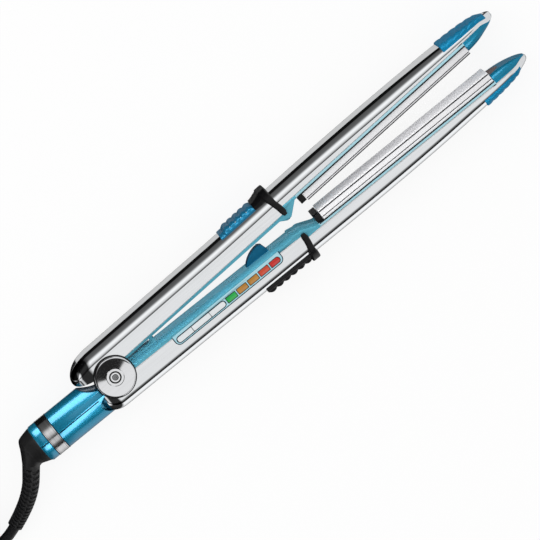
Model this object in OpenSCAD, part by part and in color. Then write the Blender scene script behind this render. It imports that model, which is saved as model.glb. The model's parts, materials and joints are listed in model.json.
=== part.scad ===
// Hair straightener with two long metal arms on one hinge, floating heater plates,
// three keys and five lamps on the lower arm, and a mains lead on a swivel.
// It lies on its side on z = 0. The hinge axis is Z, +X runs along the lower arm to its
// tip, and the upper arm opens towards +Y. All sizes are in millimetres.
// Each arm is drawn closed, with x along the arm, y outwards from the closed plate plane
// and z across it from the middle, and is then placed by lower_side() or upper_side().

/* [Arms] */
// Length of each arm from the hinge axis to its tip
arm_l = 295.5; // [286:0.5:310]
// Width of an arm across its flat side faces
arm_w = 27; // [26.5:0.5:30]
// Height of an arm from the closed plate plane to its back
arm_h = 18.2; // [17.6:0.1:20]
// Radius between a side face and the back
back_r = 6.5; // [4:0.5:8]
// Wall of the metal shells
shell_t = 1; // [0.8:0.1:1.2]
// Opening angle of the arms at rest
open_angle = 3; // [2.6:0.05:4.2]
// Gap between the two plates when the arms are closed
closed_gap = 0.1; // [0.1:0.05:0.4]
// Distance from the collars to where the lower arm's back starts to fall
taper_x = 18.6; // [10:0.2:48]
// Distance from the collars to where the upper arm's back starts to fall
upper_taper_x = 2.6; // [2.6:0.2:38]
// Length over which the side faces draw in to the tip
tip_l = 32; // [30:1:40]
// Height of the tip above the plate plane
tip_h = 9; // [8.8:0.1:10]
// Distance from the hinge axis to the rear end of the upper shell
upper_rear = 21.2; // [20.5:0.1:22]
// Distance from the hinge axis to the rear end of the lower shell
lower_rear = 17; // [15.5:0.1:18]
// Height of the middle of the upper rear end
upper_rear_h = 10.6; // [10:0.1:11]
// Height of the middle of the lower rear end
lower_rear_h = 9.5; // [9:0.1:10]
// Extra height of the upper arm's back at the hinge
upper_swell = 1.2; // [0:0.1:1.6]

/* [Inner faces] */
// Height of the upper shell's edge at the hinge
upper_edge_rear = 4.8; // [4.4:0.1:5]
// Height of the upper shell's edge at the collar
upper_edge_front = 4.5; // [4.2:0.1:5.4]
// Height of the lower shell's edge at the hinge
lower_edge_rear = 3.6; // [3.2:0.1:4.4]
// Height of the lower shell's edge at the collar
lower_edge_front = 5.3; // [4.8:0.1:6]
// Height of the upper liner's face at the hinge
upper_face_rear = 3.2; // [3:0.1:3.4]
// Height of the upper liner's face at the collar
upper_face_front = 2.4; // [2:0.1:3]
// Height of the lower liner's face at the hinge
lower_face_rear = 0.3; // [0.3:0.1:0.8]
// Height of the lower liner's face at the collar
lower_face_front = 1.8; // [1.4:0.1:2.2]
// Height of the shell's edge beside the plates
plate_edge_h = 8.2; // [8:0.1:8.6]
// Thickness of a liner's face
liner_t = 1.8; // [1.4:0.1:2]
// Depth of a liner's skirt inside its shell
skirt_h = 10; // [9.5:0.1:11]
// Width of the bevel along each side of the lower liner
bevel_w = 3.7; // [2.5:0.1:4.5]
// Depth of the bevel along each side of the lower liner
bevel_h = 1.6; // [1:0.1:1.7]

/* [Collars and grips] */
// Distance from the hinge axis to the middle of the collars
collar_x = 131.4; // [129:0.2:132]
// Thickness of a collar
collar_t = 4.7; // [4:0.1:5.5]
// Lean of a collar
collar_lean = 6.5; // [4:0.5:8]
// How far a collar stands out from the back
collar_proud = 4; // [3:0.1:5]
// How far a collar and the hinge caps stand out from the side faces
side_proud = 2.5; // [2:0.1:3]
// Length of the ribbed thumb rest of each arm
thumb_l = 27; // [22:1:30]
// How far the upper thumb rest stands out from the back
upper_rest_h = 1.9; // [1.6:0.1:2.8]
// How far the lower thumb rest stands out from the back
lower_rest_h = 2.6; // [1.8:0.1:2.8]
// Width of a thumb rest
thumb_w = 22.4; // [18:0.2:24]
// Ribs on a thumb rest
thumb_ribs = 5; // [4:1:7]
// Depth of the hollows between the ribs of a thumb rest
thumb_dip = 0.7; // [0.4:0.1:1]
// Distance from the tip back to the front end of the upper tip grip
upper_tip_grip_end = 4; // [3.5:0.5:8]
// Distance from the tip back to the front end of the lower tip grip
lower_tip_grip_end = 7; // [5:0.5:8]
// Length of the upper tip grip
upper_tip_grip_l = 31; // [26:1:34]
// Length of the lower tip grip
lower_tip_grip_l = 28; // [24:1:32]
// How far a tip grip stands out from the shell
tip_grip_proud = 0.9; // [0.6:0.1:1.2]
// Ribs on a tip grip
tip_ribs = 6; // [4:1:8]

/* [Heater plates] */
// Length of the tip beyond the plates
nose_l = 23.9; // [22:0.1:28]
// Width of a plate
plate_w = 24.4; // [23.5:0.1:24.5]
// Height of a plate above its carrier
plate_h = 6.1; // [5.6:0.1:6.2]
// Depth to which a plate sits in its carrier
plate_seat = 1; // [0.8:0.1:1.2]
// Radius along the edges of a plate's face
plate_edge_r = 1.6; // [1:0.1:2]
// Thickness of metal behind a plate's face
plate_face_t = 2.6; // [2.2:0.1:3]
// Inward travel of a floating plate
float_travel = 0.8; // [0.5:0.1:1]
// Length of the slope between a hump and the carrier
slope_l = 10.7; // [9:0.1:11]
// Height of the upper nose cap's inner face beside the plate
upper_nose_h = 1.5; // [1.2:0.1:3]
// Height of the lower nose cap's inner face beside the plate
lower_nose_h = 2.7; // [1.6:0.1:3]
// Length of the black block at the near end of a plate
end_block_l = 4.1; // [3.6:0.1:4.2]

/* [Key panel] */
// Distance from the collars back to the far end of the panel
panel_end = 15.3; // [13:0.1:18]
// Length of the panel
panel_l = 77.4; // [72:0.1:82]
// Height of the panel's outer edge above the plate plane
panel_h = 9.8; // [9.4:0.1:10]
// Thickness of the panel
panel_t = 2.4; // [2:0.1:2.6]
// Height of the row of keys and lamps above the plate plane
row_h = 7; // [6.8:0.1:7.2]
// Width of a key
key_w = 3.1; // [2.6:0.1:3.2]
// Length of the middle key
mid_key_l = 12.9; // [11:0.1:13]
// Inward travel of a key
key_travel = 0.5; // [0.3:0.1:0.6]
// How far a key stands out of the panel
key_proud = 0.4; // [0.2:0.1:0.6]
// Length of a lamp window
lamp_l = 6.8; // [6:0.1:6.9]
// Distance from one lamp window to the next
lamp_pitch = 7.9; // [7.7:0.1:7.9]

/* [Hinge] */
// Diameter of the hinge caps
cap_d = 23.8; // [22:0.1:24.4]
// Diameter of the hinge pin
pin_d = 6; // [5.5:0.1:6.5]
// Diameter of the hinge knuckles
knuckle_d = 19; // [18:0.1:19.4]
// Length of the upper arm's knuckle along the pin
knuckle_l = 14; // [12:0.5:15]

/* [Tail] */
// Diameter of the tail barrel
tail_d = 23.8; // [23:0.1:24.4]
// Height of the barrel's axis below the closed plate plane
tail_h = 5.4; // [5.2:0.1:5.8]
// Distance from the hinge axis to the rear end of the barrel
tail_end = 59; // [57:0.5:61]
// Wall of the barrel
tail_t = 2; // [1.6:0.1:2.4]
// Length of the metal band
band_l = 7.2; // [5:0.1:7.6]
// Length of the barrel behind the band
tail_rim = 6.6; // [6:0.1:7]

/* [Lead] */
// Diameter of the cord
cord_d = 6.5; // [6:0.1:7]
// Outside diameter of the strain relief where it leaves the boot
relief_d = 10; // [9:0.1:11]
// Outside diameter of the strain relief at the cord
relief_end_d = 8.3; // [8:0.1:9]

/* [Hidden] */
$fn = 64;

teal = "#1a80ad";
teal_dark = "#174f73";
teal_light = "#5fb6d6";
steel = "#c9cdd1";
black = "#202124";

half_w = arm_w / 2;
mid_z = side_proud + half_w;
total_z = 2 * mid_z;
face_gap = closed_gap / 2;
run_gap = 0.3;
slip_gap = 0.05;
seat_gap = 0.15;
rear_start = 4;
swell_end = collar_x - 40;
arc_steps = 6;

// Height of a straight line at x that has the value a at the hinge and b at the collar
function rail(x, a, b) = a + (b - a) * min(1, max(0, x) / collar_x);
// Quarter of a rounded outline: 1 at s = 0, falling to 0 at s = 1
function bow(s, p) = pow(1 - pow(min(1, max(0, s)), p), 0.5);

// Shape of an arm: distance and height of the rear end, extra height of the back at the hinge,
// and start and roundness of the fall to the tip
upper_end = [upper_rear, upper_rear_h, upper_swell, collar_x + upper_taper_x, 1.8];
lower_end = [lower_rear, lower_rear_h, 0, collar_x + taper_x, 2.3];

// Height of the back of an arm, set in by g
function back_at(x, end, g = 0) =
  x < -rear_start
    ? end[1] + (arm_h + end[2] - g - end[1]) * bow((-rear_start - x) / (end[0] - rear_start - g), 2.2)
  : x < end[3] ? arm_h - g + end[2] * max(0, 1 - x / swell_end)
  : tip_h + (arm_h - g - tip_h) * bow((x - end[3]) / (arm_l - g - end[3]), end[4]);

// Height of the open edge of a shell
function edge_at(x, end, edge) =
  x < 0 ? edge[0] + (end[1] - edge[0]) * (1 - bow(-x / end[0], 1.6))
  : x < collar_x ? rail(x, edge[0], edge[1])
  : plate_edge_h;

// Half of the width of an arm, set in by g
function side_at(x, rear, g = 0) =
  x < -rear_start ? (half_w - g) * bow((-rear_start - x) / (rear - rear_start - g), 2.6)
  : (half_w - g) * bow((x - arm_l + tip_l) / (tip_l - g), 2.2);

// Ring of points across an arm at x: square corners at height lo, rounded ones at height hi
function ring(x, lo, hi, w, r, steps = arc_steps) = let(d = sign(hi - lo)) concat(
  [[x, lo, -d * w], [x, lo, d * w]],
  [for (i = [0:steps]) let(a = 90 * i / steps) [x, hi - d * r * (1 - sin(a)), d * (w - r * (1 - cos(a)))]],
  [for (i = [steps:-1:0]) let(a = 90 * i / steps) [x, hi - d * r * (1 - sin(a)), d * (r * (1 - cos(a)) - w)]]
);

// Closed solid through rings of equally many points
module loft(rings) {
  n = len(rings[0]);
  m = len(rings);
  sides = [for (i = [0:m - 2], j = [0:n - 1]) each [
    [i * n + j, (i + 1) * n + (j + 1) % n, (i + 1) * n + j],
    [i * n + j, i * n + (j + 1) % n, (i + 1) * n + (j + 1) % n]
  ]];
  ends = [[for (j = [n - 1:-1:0]) j], [for (j = [0:n - 1]) (m - 1) * n + j]];
  polyhedron([for (r = rings) each r], concat(sides, ends));
}

module lower_side() translate([0, 0, mid_z]) mirror([0, 1, 0]) children();
module upper_side() rotate([0, 0, open_angle]) translate([0, 0, mid_z]) children();

// Box from x0 to x1 and y0 to y1, w to each side of the middle
module bar(x0, x1, y0, y1, w) translate([x0, y0, -w]) cube([x1 - x0, y1 - y0, 2 * w]);
// Outline in the x-y plane, w to each side of the middle
module slab(points, w) translate([0, 0, -w]) linear_extrude(2 * w) polygon(points);

// Outline across an arm: height y to the right, width z upwards, rounded at the back
module arm_outline(lo, hi, w, r) {
  translate([lo, -w]) square([hi - lo - r, 2 * w]);
  translate([lo, r - w]) square([hi - lo, 2 * (w - r)]);
  for (s = [-1, 1]) translate([hi - r, s * (w - r)]) circle(r);
}
// The same with corners of radius r0 at the inner side
module rounded(lo, hi, w, r0, r) {
  arm_outline(lo + r0, hi, w, r);
  translate([lo, r0 - w]) square([r0 + 1, 2 * (w - r0)]);
  for (s = [-1, 1]) translate([lo + r0, s * (w - r0)]) circle(r0);
}
// An outline across an arm, run along x from x0 to x1
module along_arm(x0, x1) translate([x0, 0, 0]) rotate([90, 0, 90]) linear_extrude(x1 - x0) children();

// Places along x where the outer and inner skins of a shell have a ring
function rear_stops(rear, g) =
  [for (a = [86, 72, 56, 38, 19]) -rear_start - (rear - rear_start - g) * sin(a)];
function tip_stops(from, g) =
  [for (a = [0, 14, 28, 40, 50, 58, 65, 71, 76, 80, 84, 87]) from + (arm_l - g - from) * sin(a)];

module shell(end, edge) {
  joint_x = [-rear_start, 0, swell_end, collar_x - 0.5, collar_x + 0.5];
  stops = concat(rear_stops(end[0], 0), joint_x, tip_stops(end[3], 0));
  hollow = concat(rear_stops(end[0], shell_t), joint_x, tip_stops(end[3], 1.5 * shell_t));
  difference() {
    loft([for (x = stops) let(lo = edge_at(x, end, edge), hi = back_at(x, end), w = side_at(x, end[0]))
      ring(x, lo, hi, w, min(back_r, 0.9 * w, 0.8 * (hi - lo)))]);
    loft([for (x = hollow) let(
      lo = edge_at(x, end, edge) + (x < -rear_start ? shell_t : -2),
      hi = max(lo + 0.8, back_at(x, end, shell_t)), w = side_at(x, end[0], shell_t))
      ring(x, lo, hi, w, min(back_r - shell_t, 0.9 * w, 0.8 * (hi - lo)), 5)]);
    cylinder(d = knuckle_d + 2 * run_gap, h = 2 * arm_w, center = true);
  }
}

// Side view of a shell's rear end, grown by g
function rear_outline(end, edge, g) = concat(
  [[0, back_at(0, end) + g], [-rear_start, back_at(-rear_start, end) + g]],
  [for (a = [19, 38, 56, 72, 84]) let(x = -rear_start - (end[0] - rear_start) * sin(a))
    [x - g * sin(a), back_at(x, end) + g * cos(a)]],
  [[-end[0] - g, end[1]]],
  [for (a = [80, 64, 48, 30, 12, 0]) let(x = -end[0] * sin(a)) [x, edge_at(x, end, edge) - g]]
);

module lower_shell() color(steel) lower_side() difference() {
  shell(lower_end, [lower_edge_rear, lower_edge_front]);
  // way in for the liner's tongue
  bar(-lower_rear - 1, -lower_rear + 6, tongue_y0 - seat_gap, tongue_y1 + seat_gap, tongue_w + seat_gap);
  // notch for the key panel
  translate([0, 0, half_w - shell_t - 0.5]) linear_extrude(2 * shell_t + 1)
    panel_outline(0);
}

module upper_shell() color(steel) upper_side() shell(upper_end, [upper_edge_rear, upper_edge_front]);

// Tongue behind the lower liner that the tail clamps
tongue_y0 = lower_rear_h - 3.2;
tongue_y1 = lower_rear_h + 3.2;
tongue_w = 5.5;
tongue_end = tail_end - 24;
skirt_w = half_w - shell_t - seat_gap;
lug_z0 = knuckle_l / 2 + run_gap;
lug_z1 = skirt_w;
liner_x = knuckle_d / 2 + 1.2;
hump_x = collar_x + 1.7;
carrier_x = hump_x + slope_l;
carrier_h = face_gap + plate_h;
// The plates lie between the end blocks and the tips
plate_x = carrier_x + end_block_l + 0.1;
plate_end = arm_l - nose_l;
plate_l = plate_end - plate_x;

// Side view of a liner from its face to height top
function liner_points(face, peak, top) = [
  [liner_x, rail(liner_x, face[0], face[1])],
  [hump_x - 5.5, rail(hump_x - 5.5, face[0], face[1])],
  [hump_x - 1.6, peak + 0.25],
  [hump_x, peak],
  [hump_x + 1.6, peak + 0.5],
  [carrier_x - 1.5, carrier_h - 0.2],
  [carrier_x, carrier_h],
  [carrier_x, top],
  [liner_x, top]
];

// Long cover behind the shell's open edge, with a skirt inside the shell
module liner(face, peak, edge) {
  difference() {
    union() {
      slab(concat(
        [for (p = liner_points(face, peak, 0)) if (p.y > 0) p],
        [[carrier_x, plate_edge_h], [collar_x + 0.5, plate_edge_h], [collar_x + 0.5, edge[1]],
         [liner_x, rail(liner_x, edge[0], edge[1])]]), half_w - 0.1);
      slab(liner_points(face, peak, skirt_h), skirt_w);
    }
    // hollow behind the face
    slab([
      [liner_x + 4, rail(liner_x + 4, face[0], face[1]) + liner_t],
      [hump_x - 4, face[1] + liner_t],
      [carrier_x - 3, carrier_h + liner_t],
      [carrier_x + 1, carrier_h + liner_t],
      [carrier_x + 1, skirt_h + 1],
      [liner_x + 4, skirt_h + 1]
    ], skirt_w - liner_t);
  }
}

module upper_liner() color(teal) upper_side() difference() {
  union() {
    liner([upper_face_rear, upper_face_front], face_gap - 0.5, [upper_edge_rear, upper_edge_front]);
    cylinder(d = knuckle_d, h = knuckle_l, center = true);
    // web from the knuckle into the liner
    bar(0, liner_x + 5, upper_face_rear + 0.4, knuckle_d / 2, knuckle_l / 2);
  }
  cylinder(d = pin_d + 2 * slip_gap, h = arm_w, center = true);
  // room for the opening spring
  translate([0, 0, -0.5]) cylinder(d = spring_d + 2, h = knuckle_l);
  rotate([0, 0, 38]) bar(0, liner_x + 6, -1, 1, knuckle_l / 2 - 1);
  translate([4, -0.8, -0.8]) cube([7, 3.3, 2.2]);
  // slot that the lower arm's fin enters
  bar(fin_x - 1, fin_x + fin_l + 1.2, 0, upper_face_front + liner_t + 1, fin_w / 2 + 0.6);
}

module lower_liner() color(teal) lower_side() difference() {
  union() {
    difference() {
      liner([lower_face_rear, lower_face_front], face_gap + 2.2, [lower_edge_rear, lower_edge_front]);
      // bevel along both sides of the face
      bevel_x = liner_x + 2;
      for (s = [-1, 1]) scale([1, 1, s])
        translate([bevel_x, rail(bevel_x, lower_face_rear, lower_face_front), 0])
        rotate([0, 0, atan((lower_face_front - lower_face_rear) / collar_x)])
          along_arm(0, collar_x - liner_x - 7)
            polygon([[-2, half_w + 1], [-2, half_w - bevel_w], [0, half_w - bevel_w],
              [bevel_h * (bevel_w + 1) / bevel_w, half_w + 1]]);
      cylinder(d = knuckle_d + 2 * run_gap, h = 2 * lug_z0, center = true);
    }
    for (s = [-1, 1]) scale([1, 1, s]) translate([0, 0, lug_z0]) {
      cylinder(d = knuckle_d, h = lug_z1 - lug_z0);
      // cheek from the lug into the liner
      translate([0, lower_face_rear + 1.8, 0])
        cube([liner_x + 5, knuckle_d / 2 - lower_face_rear - 1.8, lug_z1 - lug_z0]);
      // cheek from the lug to the tongue
      translate([-knuckle_d / 2 - 1, tongue_y0, 0])
        cube([knuckle_d / 2 + 1, tongue_y1 - tongue_y0, lug_z1 - lug_z0 - 1.8]);
    }
    // seat of the opening spring's leg, with a raised lip
    bar(liner_x + 0.8, 30.4, -seat_y, lower_face_rear + 1, 6);
    bar(28, 30.4, -upper_face_rear + 0.7, lower_face_rear + 1, 6);
    // tongue, with a crosspiece behind the knuckle
    difference() {
      bar(-knuckle_d / 2 - 2.9, -2, tongue_y0, tongue_y1, lug_z0 + 0.5);
      cylinder(d = knuckle_d + 2 * run_gap, h = arm_w, center = true);
    }
    bar(-tongue_end, -knuckle_d / 2 - 1, tongue_y0, tongue_y1, tongue_w);
  }
  cylinder(d = pin_d + 2 * slip_gap, h = arm_w, center = true);
  // wire channel through the tongue
  translate([-tongue_end - 1, lower_rear_h, 0]) rotate([0, 90, 0])
    cylinder(d = 5, h = tongue_end + 1 - knuckle_d / 2);
  // window behind the key panel
  translate([0, 0, skirt_w - liner_t - 1]) linear_extrude(shell_t + liner_t + 3) panel_outline(0);
  // foot hole of the fin
  bar(fin_x + 3, fin_x + fin_l - 3, 0, lower_face_front + liner_t + 1, fin_w / 2 - 1);
}

module carrier() difference() {
  union() {
    bar(carrier_x, nose_x, carrier_h, plate_edge_h, half_w - 0.4);
    // tray inside the shell, smaller where the shell closes in
    bar(carrier_x, plate_end - 10, plate_edge_h, skirt_h - 0.6, skirt_w - 0.3);
    bar(carrier_x, plate_end - 10, plate_edge_h, skirt_h + 1.2, 10);
    bar(carrier_x, nose_x - 0.5, plate_edge_h, skirt_h - 0.2, 10);
  }
  // seat of the floating plate
  bar(plate_x - run_gap, nose_x + 1, carrier_h - 1, carrier_h + plate_seat + float_travel + run_gap,
    plate_w / 2 + run_gap);
  // well for the heater and the springs
  bar(plate_x + 4, plate_end - 12, carrier_h, skirt_h + 0.2, 9);
  // wire hole
  bar(plate_x + 4, plate_x + 12, carrier_h, skirt_h + 3, 3);
}

nose_x = plate_end + run_gap;

// Height of the inner face of a nose cap
function nose_at(x, h) = h + (tip_h - 0.3 - h) * pow(max(0, (x - nose_x) / (arm_l - nose_x)), 1.15);
nose_stops = [for (a = [0, 16, 31, 44, 55, 65, 74, 81, 86]) nose_x + (arm_l - 0.6 - nose_x) * sin(a)];

// Rounded inner cover of a tip, from the plate to the point
module nose_cap(h) {
  loft([for (x = nose_stops)
    let(lo = plate_edge_h, hi = min(lo - 0.3, nose_at(x, h)), w = side_at(x, 0) - 0.1)
    ring(x, lo, hi, w, min(4.5, 0.9 * w, 0.85 * (lo - hi)), 5)]);
  bar(nose_x + 1, nose_x + 6, plate_edge_h - 1, plate_edge_h + 1.8, 6);
}

// Leaf spring of a floating plate, bowed between the carrier and the plate
leaf_l = 24;
leaf_w = 6;
leaf_t = 0.4;
leaf_inset = 14;
module leaf_spring(x) {
  floor_y = skirt_h + 0.2;
  crown_y = heater_y + run_gap;
  translate([x, 0, 0]) slab(concat(
    [for (i = [0:12]) [leaf_l * i / 12, floor_y - (floor_y - crown_y) * sin(180 * i / 12)]],
    [for (i = [12:-1:0])
      [leaf_l * i / 12, floor_y - leaf_t - (floor_y - crown_y - leaf_t / 4) * sin(180 * i / 12)]]
  ), leaf_w / 2);
}
module plate_springs() for (x = [plate_x + leaf_inset, plate_end - leaf_inset - leaf_l]) leaf_spring(x);

module lower_carrier() color(teal) lower_side() carrier();
module upper_carrier() color(teal) upper_side() carrier();
module lower_nose_cap() color(teal) lower_side() difference() {
  nose_cap(lower_nose_h);
  bumper_solid();
}
module upper_nose_cap() color(teal) upper_side() nose_cap(upper_nose_h);

// D-shaped soft bumper let into the lower nose cap
bumper_r = 8;
module bumper_solid() translate([nose_x - 1, 0, 0]) rotate([-90, 0, 0])
  linear_extrude(lower_nose_h + 3) intersection() {
    circle(bumper_r);
    translate([1, -bumper_r]) square(2 * bumper_r);
  }
module nose_bumper() color("#5a4b4a") lower_side() intersection() {
  bumper_solid();
  nose_cap(lower_nose_h);
}
module lower_plate_springs() color("silver") lower_side() plate_springs();
module upper_plate_springs() color("silver") upper_side() plate_springs();

// Black stop at the near end of a plate
module end_block() along_arm(plate_x - run_gap - end_block_l + 0.3, plate_x - run_gap)
  intersection() {
    rotate([0, 0, 180]) translate([-2 * carrier_h, 0])
      arm_outline(carrier_h, 2 * carrier_h - 0.8, plate_w / 2 - 0.4, 2);
    translate([0, -half_w]) square([carrier_h, arm_w]);
  }
module lower_end_block() color(black) lower_side() end_block();
module upper_end_block() color(black) upper_side() end_block();

// Extruded heater plate with rounded face edges and a channel at its back
module plate() {
  base_y = carrier_h + plate_seat;
  step_y = carrier_h - 1.5;
  difference() {
    along_arm(plate_x, plate_end) union() {
      rotate([0, 0, 180]) translate([-step_y - face_gap, 0])
        arm_outline(0, step_y, plate_w / 2 - 0.4, plate_edge_r);
      translate([step_y, -plate_w / 2]) square([base_y - step_y, plate_w]);
    }
    bar(plate_x + 3, plate_end - 3, face_gap + plate_face_t, base_y + 1, plate_w / 2 - 2.2);
  }
}
// Flat ceramic heater under a clamp, in the channel of a plate
heater_y = carrier_h + plate_seat - 0.6;
heater_inset = 12;
heater_w = 14;
heater_t = 1.4;
module heater() {
  y = face_gap + plate_face_t;
  bar(plate_x + heater_inset, plate_end - heater_inset, y, y + heater_t, heater_w / 2);
  bar(plate_x + heater_inset - 2, plate_end - heater_inset + 2, y + heater_t, heater_y, heater_w / 2 + 2);
}
module lower_plate() color("#c4c4c6") lower_side() plate();
module upper_plate() color("#c4c4c6") upper_side() plate();
module lower_heater() color("ivory") lower_side() heater();
module upper_heater() color("ivory") upper_side() heater();
module bead(w) translate([plate_x + 6.5, face_gap + plate_face_t + 1.1, 0])
  cylinder(d = 2.2, h = 2 * w, center = true);
module heat_sensor() color("orange") lower_side() bead(2);
module thermal_fuse() color("gold") upper_side() bead(5);

// Black collar that keeps the fingers off the hot end
module collar(inner_h) difference() {
  translate([collar_x, arm_h, 0]) rotate([0, 0, collar_lean]) translate([-collar_x, -arm_h, 0])
    along_arm(collar_x - collar_t / 2, collar_x + collar_t / 2)
      rounded(inner_h, arm_h + collar_proud, mid_z, 2, back_r + 1);
  along_arm(collar_x - 12, collar_x + 12) arm_outline(-2, arm_h, half_w, back_r);
}

// Side view of a ribbed rest from x0 to x1 on the back, stepped down at its near end
function rib_points(x0, x1, n, h, step) = concat(
  [[x0 - step, rest_y], [x0 - step, arm_h + 0.35 * h], [x0 - 0.3, arm_h + 0.45 * h], [x0, arm_h + 0.8 * h]],
  [for (k = [0:n - 1], i = [0:5]) let(p = (x1 - x0 - 2) / n)
    [x0 + 1 + (k + i / 6) * p, arm_h + h - thumb_dip + thumb_dip * sin(180 * i / 6)]],
  [[x1 - 0.5, arm_h + h - thumb_dip], [x1, arm_h + h - thumb_dip], [x1, rest_y]]
);
rest_y = arm_h - 2.2;
// Rest over the back of an arm, cut to a side view and grown by h from the arm's outline
module saddle(points, h) difference() {
  intersection() {
    slab(points, thumb_w / 2);
    along_arm(0, collar_x) arm_outline(0, arm_h + h, half_w + h, back_r + h);
  }
  along_arm(-1, collar_x + 1) arm_outline(-2, arm_h, half_w, back_r);
}
thumb_end = collar_x - collar_t / 2 - 1.5;
thumb_split = thumb_end - 5.5;

module lower_collar() color(black) lower_side() {
  collar(lower_edge_front - 1.1);
  saddle(rib_points(thumb_end - thumb_l - 3.2, thumb_end + 1.7, thumb_ribs + 1, lower_rest_h, 0.6),
    lower_rest_h);
}
module upper_collar() color(black) upper_side() {
  collar(upper_edge_front - 1.1);
  // ramp from the thumb grip up to the collar
  saddle([
    [thumb_split, rest_y], [thumb_split, arm_h + upper_rest_h - 0.3],
    [thumb_end - 3, arm_h + upper_rest_h + 0.2], [thumb_end + 1.2, arm_h + collar_proud - 0.4],
    [thumb_end + 1.2, rest_y]
  ], collar_proud);
}
module thumb_grip() color(teal_dark) upper_side()
  saddle(rib_points(thumb_split - thumb_l + 5, thumb_split, thumb_ribs, upper_rest_h, 3.2), upper_rest_h);

// Ribbed pad that follows the falling back near the tip
module tip_grip(end, from_tip, length) {
  x1 = arm_l - from_tip;
  x0 = x1 - length;
  steps = 6 * tip_ribs;
  loft([for (i = [0:steps]) let(
    x = x0 + (x1 - x0) * i / steps,
    hi = back_at(x, end), w = side_at(x, 0), r = min(back_r, 0.9 * w, 0.8 * (hi - plate_edge_h)),
    g = max(0.3, tip_grip_proud * (0.55 + 0.45 * abs(sin(30 * i))) * min(1, (steps - i + 1) / 5)),
    q = r + seat_gap,
    angles = [25, 45, 65, 90])
    concat(
      [for (a = angles) [x, hi - r + (r + g) * sin(a), w - r + (r + g) * cos(a)]],
      [for (k = [3:-1:0]) [x, hi - r + (r + g) * sin(angles[k]), r - w - (r + g) * cos(angles[k])]],
      [for (a = angles) [x, hi - r + q * sin(a), r - w - q * cos(a)]],
      [for (k = [3:-1:0]) [x, hi - r + q * sin(angles[k]), w - r + q * cos(angles[k])]]
    )]);
}
module lower_tip_grip() color(teal) lower_side() tip_grip(lower_end, lower_tip_grip_end, lower_tip_grip_l);
module upper_tip_grip() color(teal) upper_side() tip_grip(upper_end, upper_tip_grip_end, upper_tip_grip_l);

// Fin on the lower liner that lines the two arms up as they close
fin_w = 6;
fin_l = 16;
fin_x = collar_x - 34.9;
fin_top = 6.2;
module align_fin() color(teal_dark) lower_side() {
  f0 = rail(fin_x, lower_face_rear, lower_face_front);
  f1 = rail(fin_x + fin_l, lower_face_rear, lower_face_front);
  slab(concat(
    [for (i = [0:8]) [fin_x + 12.8 * (1 - cos(90 * i / 8)), f0 - fin_top * pow(sin(90 * i / 8), 1.6)]],
    [[fin_x + 14.6, f0 - 5], [fin_x + fin_l, f1]]
  ), fin_w / 2);
  bar(fin_x + 3 + seat_gap, fin_x + fin_l - 3 - seat_gap, f0, f1 + liner_t, fin_w / 2 - 1 - seat_gap);
}

// Outline of the key panel in the x-y plane, open towards the plate plane
panel_top = 3.4;
panel_x = collar_x - panel_end - panel_l;
module panel_outline(g) {
  r = 3;
  translate([panel_x + r - g, panel_h - r + g]) circle(r);
  translate([panel_x + panel_l - r + g, panel_h - r + g]) circle(r);
  translate([panel_x + r - g, panel_top]) square([panel_l - 2 * r + 2 * g, panel_h - panel_top + g]);
  translate([panel_x - g, panel_top]) square([panel_l + 2 * g, panel_h - panel_top - r + g]);
}
lamp_n = 5;
row_inset = 1.6;
row_x = panel_x + row_inset;
lamp_x = panel_x + panel_l - row_inset - lamp_l - (lamp_n - 1) * lamp_pitch;
row_l = lamp_x - row_x - 1.5;
key_l = (row_l - mid_key_l) / 2;
key_x = [row_x, row_x + key_l, row_x + key_l + mid_key_l, row_x + row_l];
panel_z1 = half_w + 0.1;
panel_z0 = panel_z1 - panel_t;

// Row of keys with round outer ends
module key_outline(g) {
  w = key_w / 2 + g;
  x0 = row_x - g;
  x1 = row_x + row_l + g;
  translate([x0 + w, row_h]) circle(w);
  translate([x1 - w, row_h]) circle(w);
  translate([x0 + w, row_h - w]) square([x1 - x0 - 2 * w, 2 * w]);
}
module lamp_outline(k, g) {
  x0 = lamp_x + k * lamp_pitch - g;
  w = key_w / 2 + 0.15 + g;
  if (k < lamp_n - 1) translate([x0, row_h - w]) square([lamp_l + 2 * g, 2 * w]);
  else {
    translate([x0, row_h - w]) square([lamp_l + 2 * g - w, 2 * w]);
    translate([x0 + lamp_l + 2 * g - w, row_h]) circle(w);
  }
}
module key_panel() color(teal_light) lower_side() difference() {
  translate([0, 0, panel_z0]) linear_extrude(panel_t) panel_outline(0);
  translate([0, 0, panel_z0 - 1]) linear_extrude(panel_t + 2) {
    key_outline(run_gap);
    for (k = [0:lamp_n - 1]) lamp_outline(k, 0);
  }
}
module key(k) lower_side() translate([0, 0, panel_z0 + 0.2])
  linear_extrude(panel_t - 0.2 + key_proud) intersection() {
    key_outline(0);
    translate([key_x[k] + run_gap / 2, row_h - key_w]) square([key_x[k + 1] - key_x[k] - run_gap, 2 * key_w]);
  }
module key_power() color("gainsboro") key(0);
module key_minus() color("gainsboro") key(1);
module key_plus() color("gainsboro") key(2);
module lamp(k) lower_side() translate([0, 0, panel_z0]) linear_extrude(panel_t + 0.1) lamp_outline(k, 0);
module lamp_green() color("#27a844") lamp(0);
module lamps_amber() color("#b8843a") for (k = [1, 2]) lamp(k);
module lamp_orange() color("#c0442a") lamp(3);
module lamp_red() color("#b8281f") lamp(4);

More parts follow.
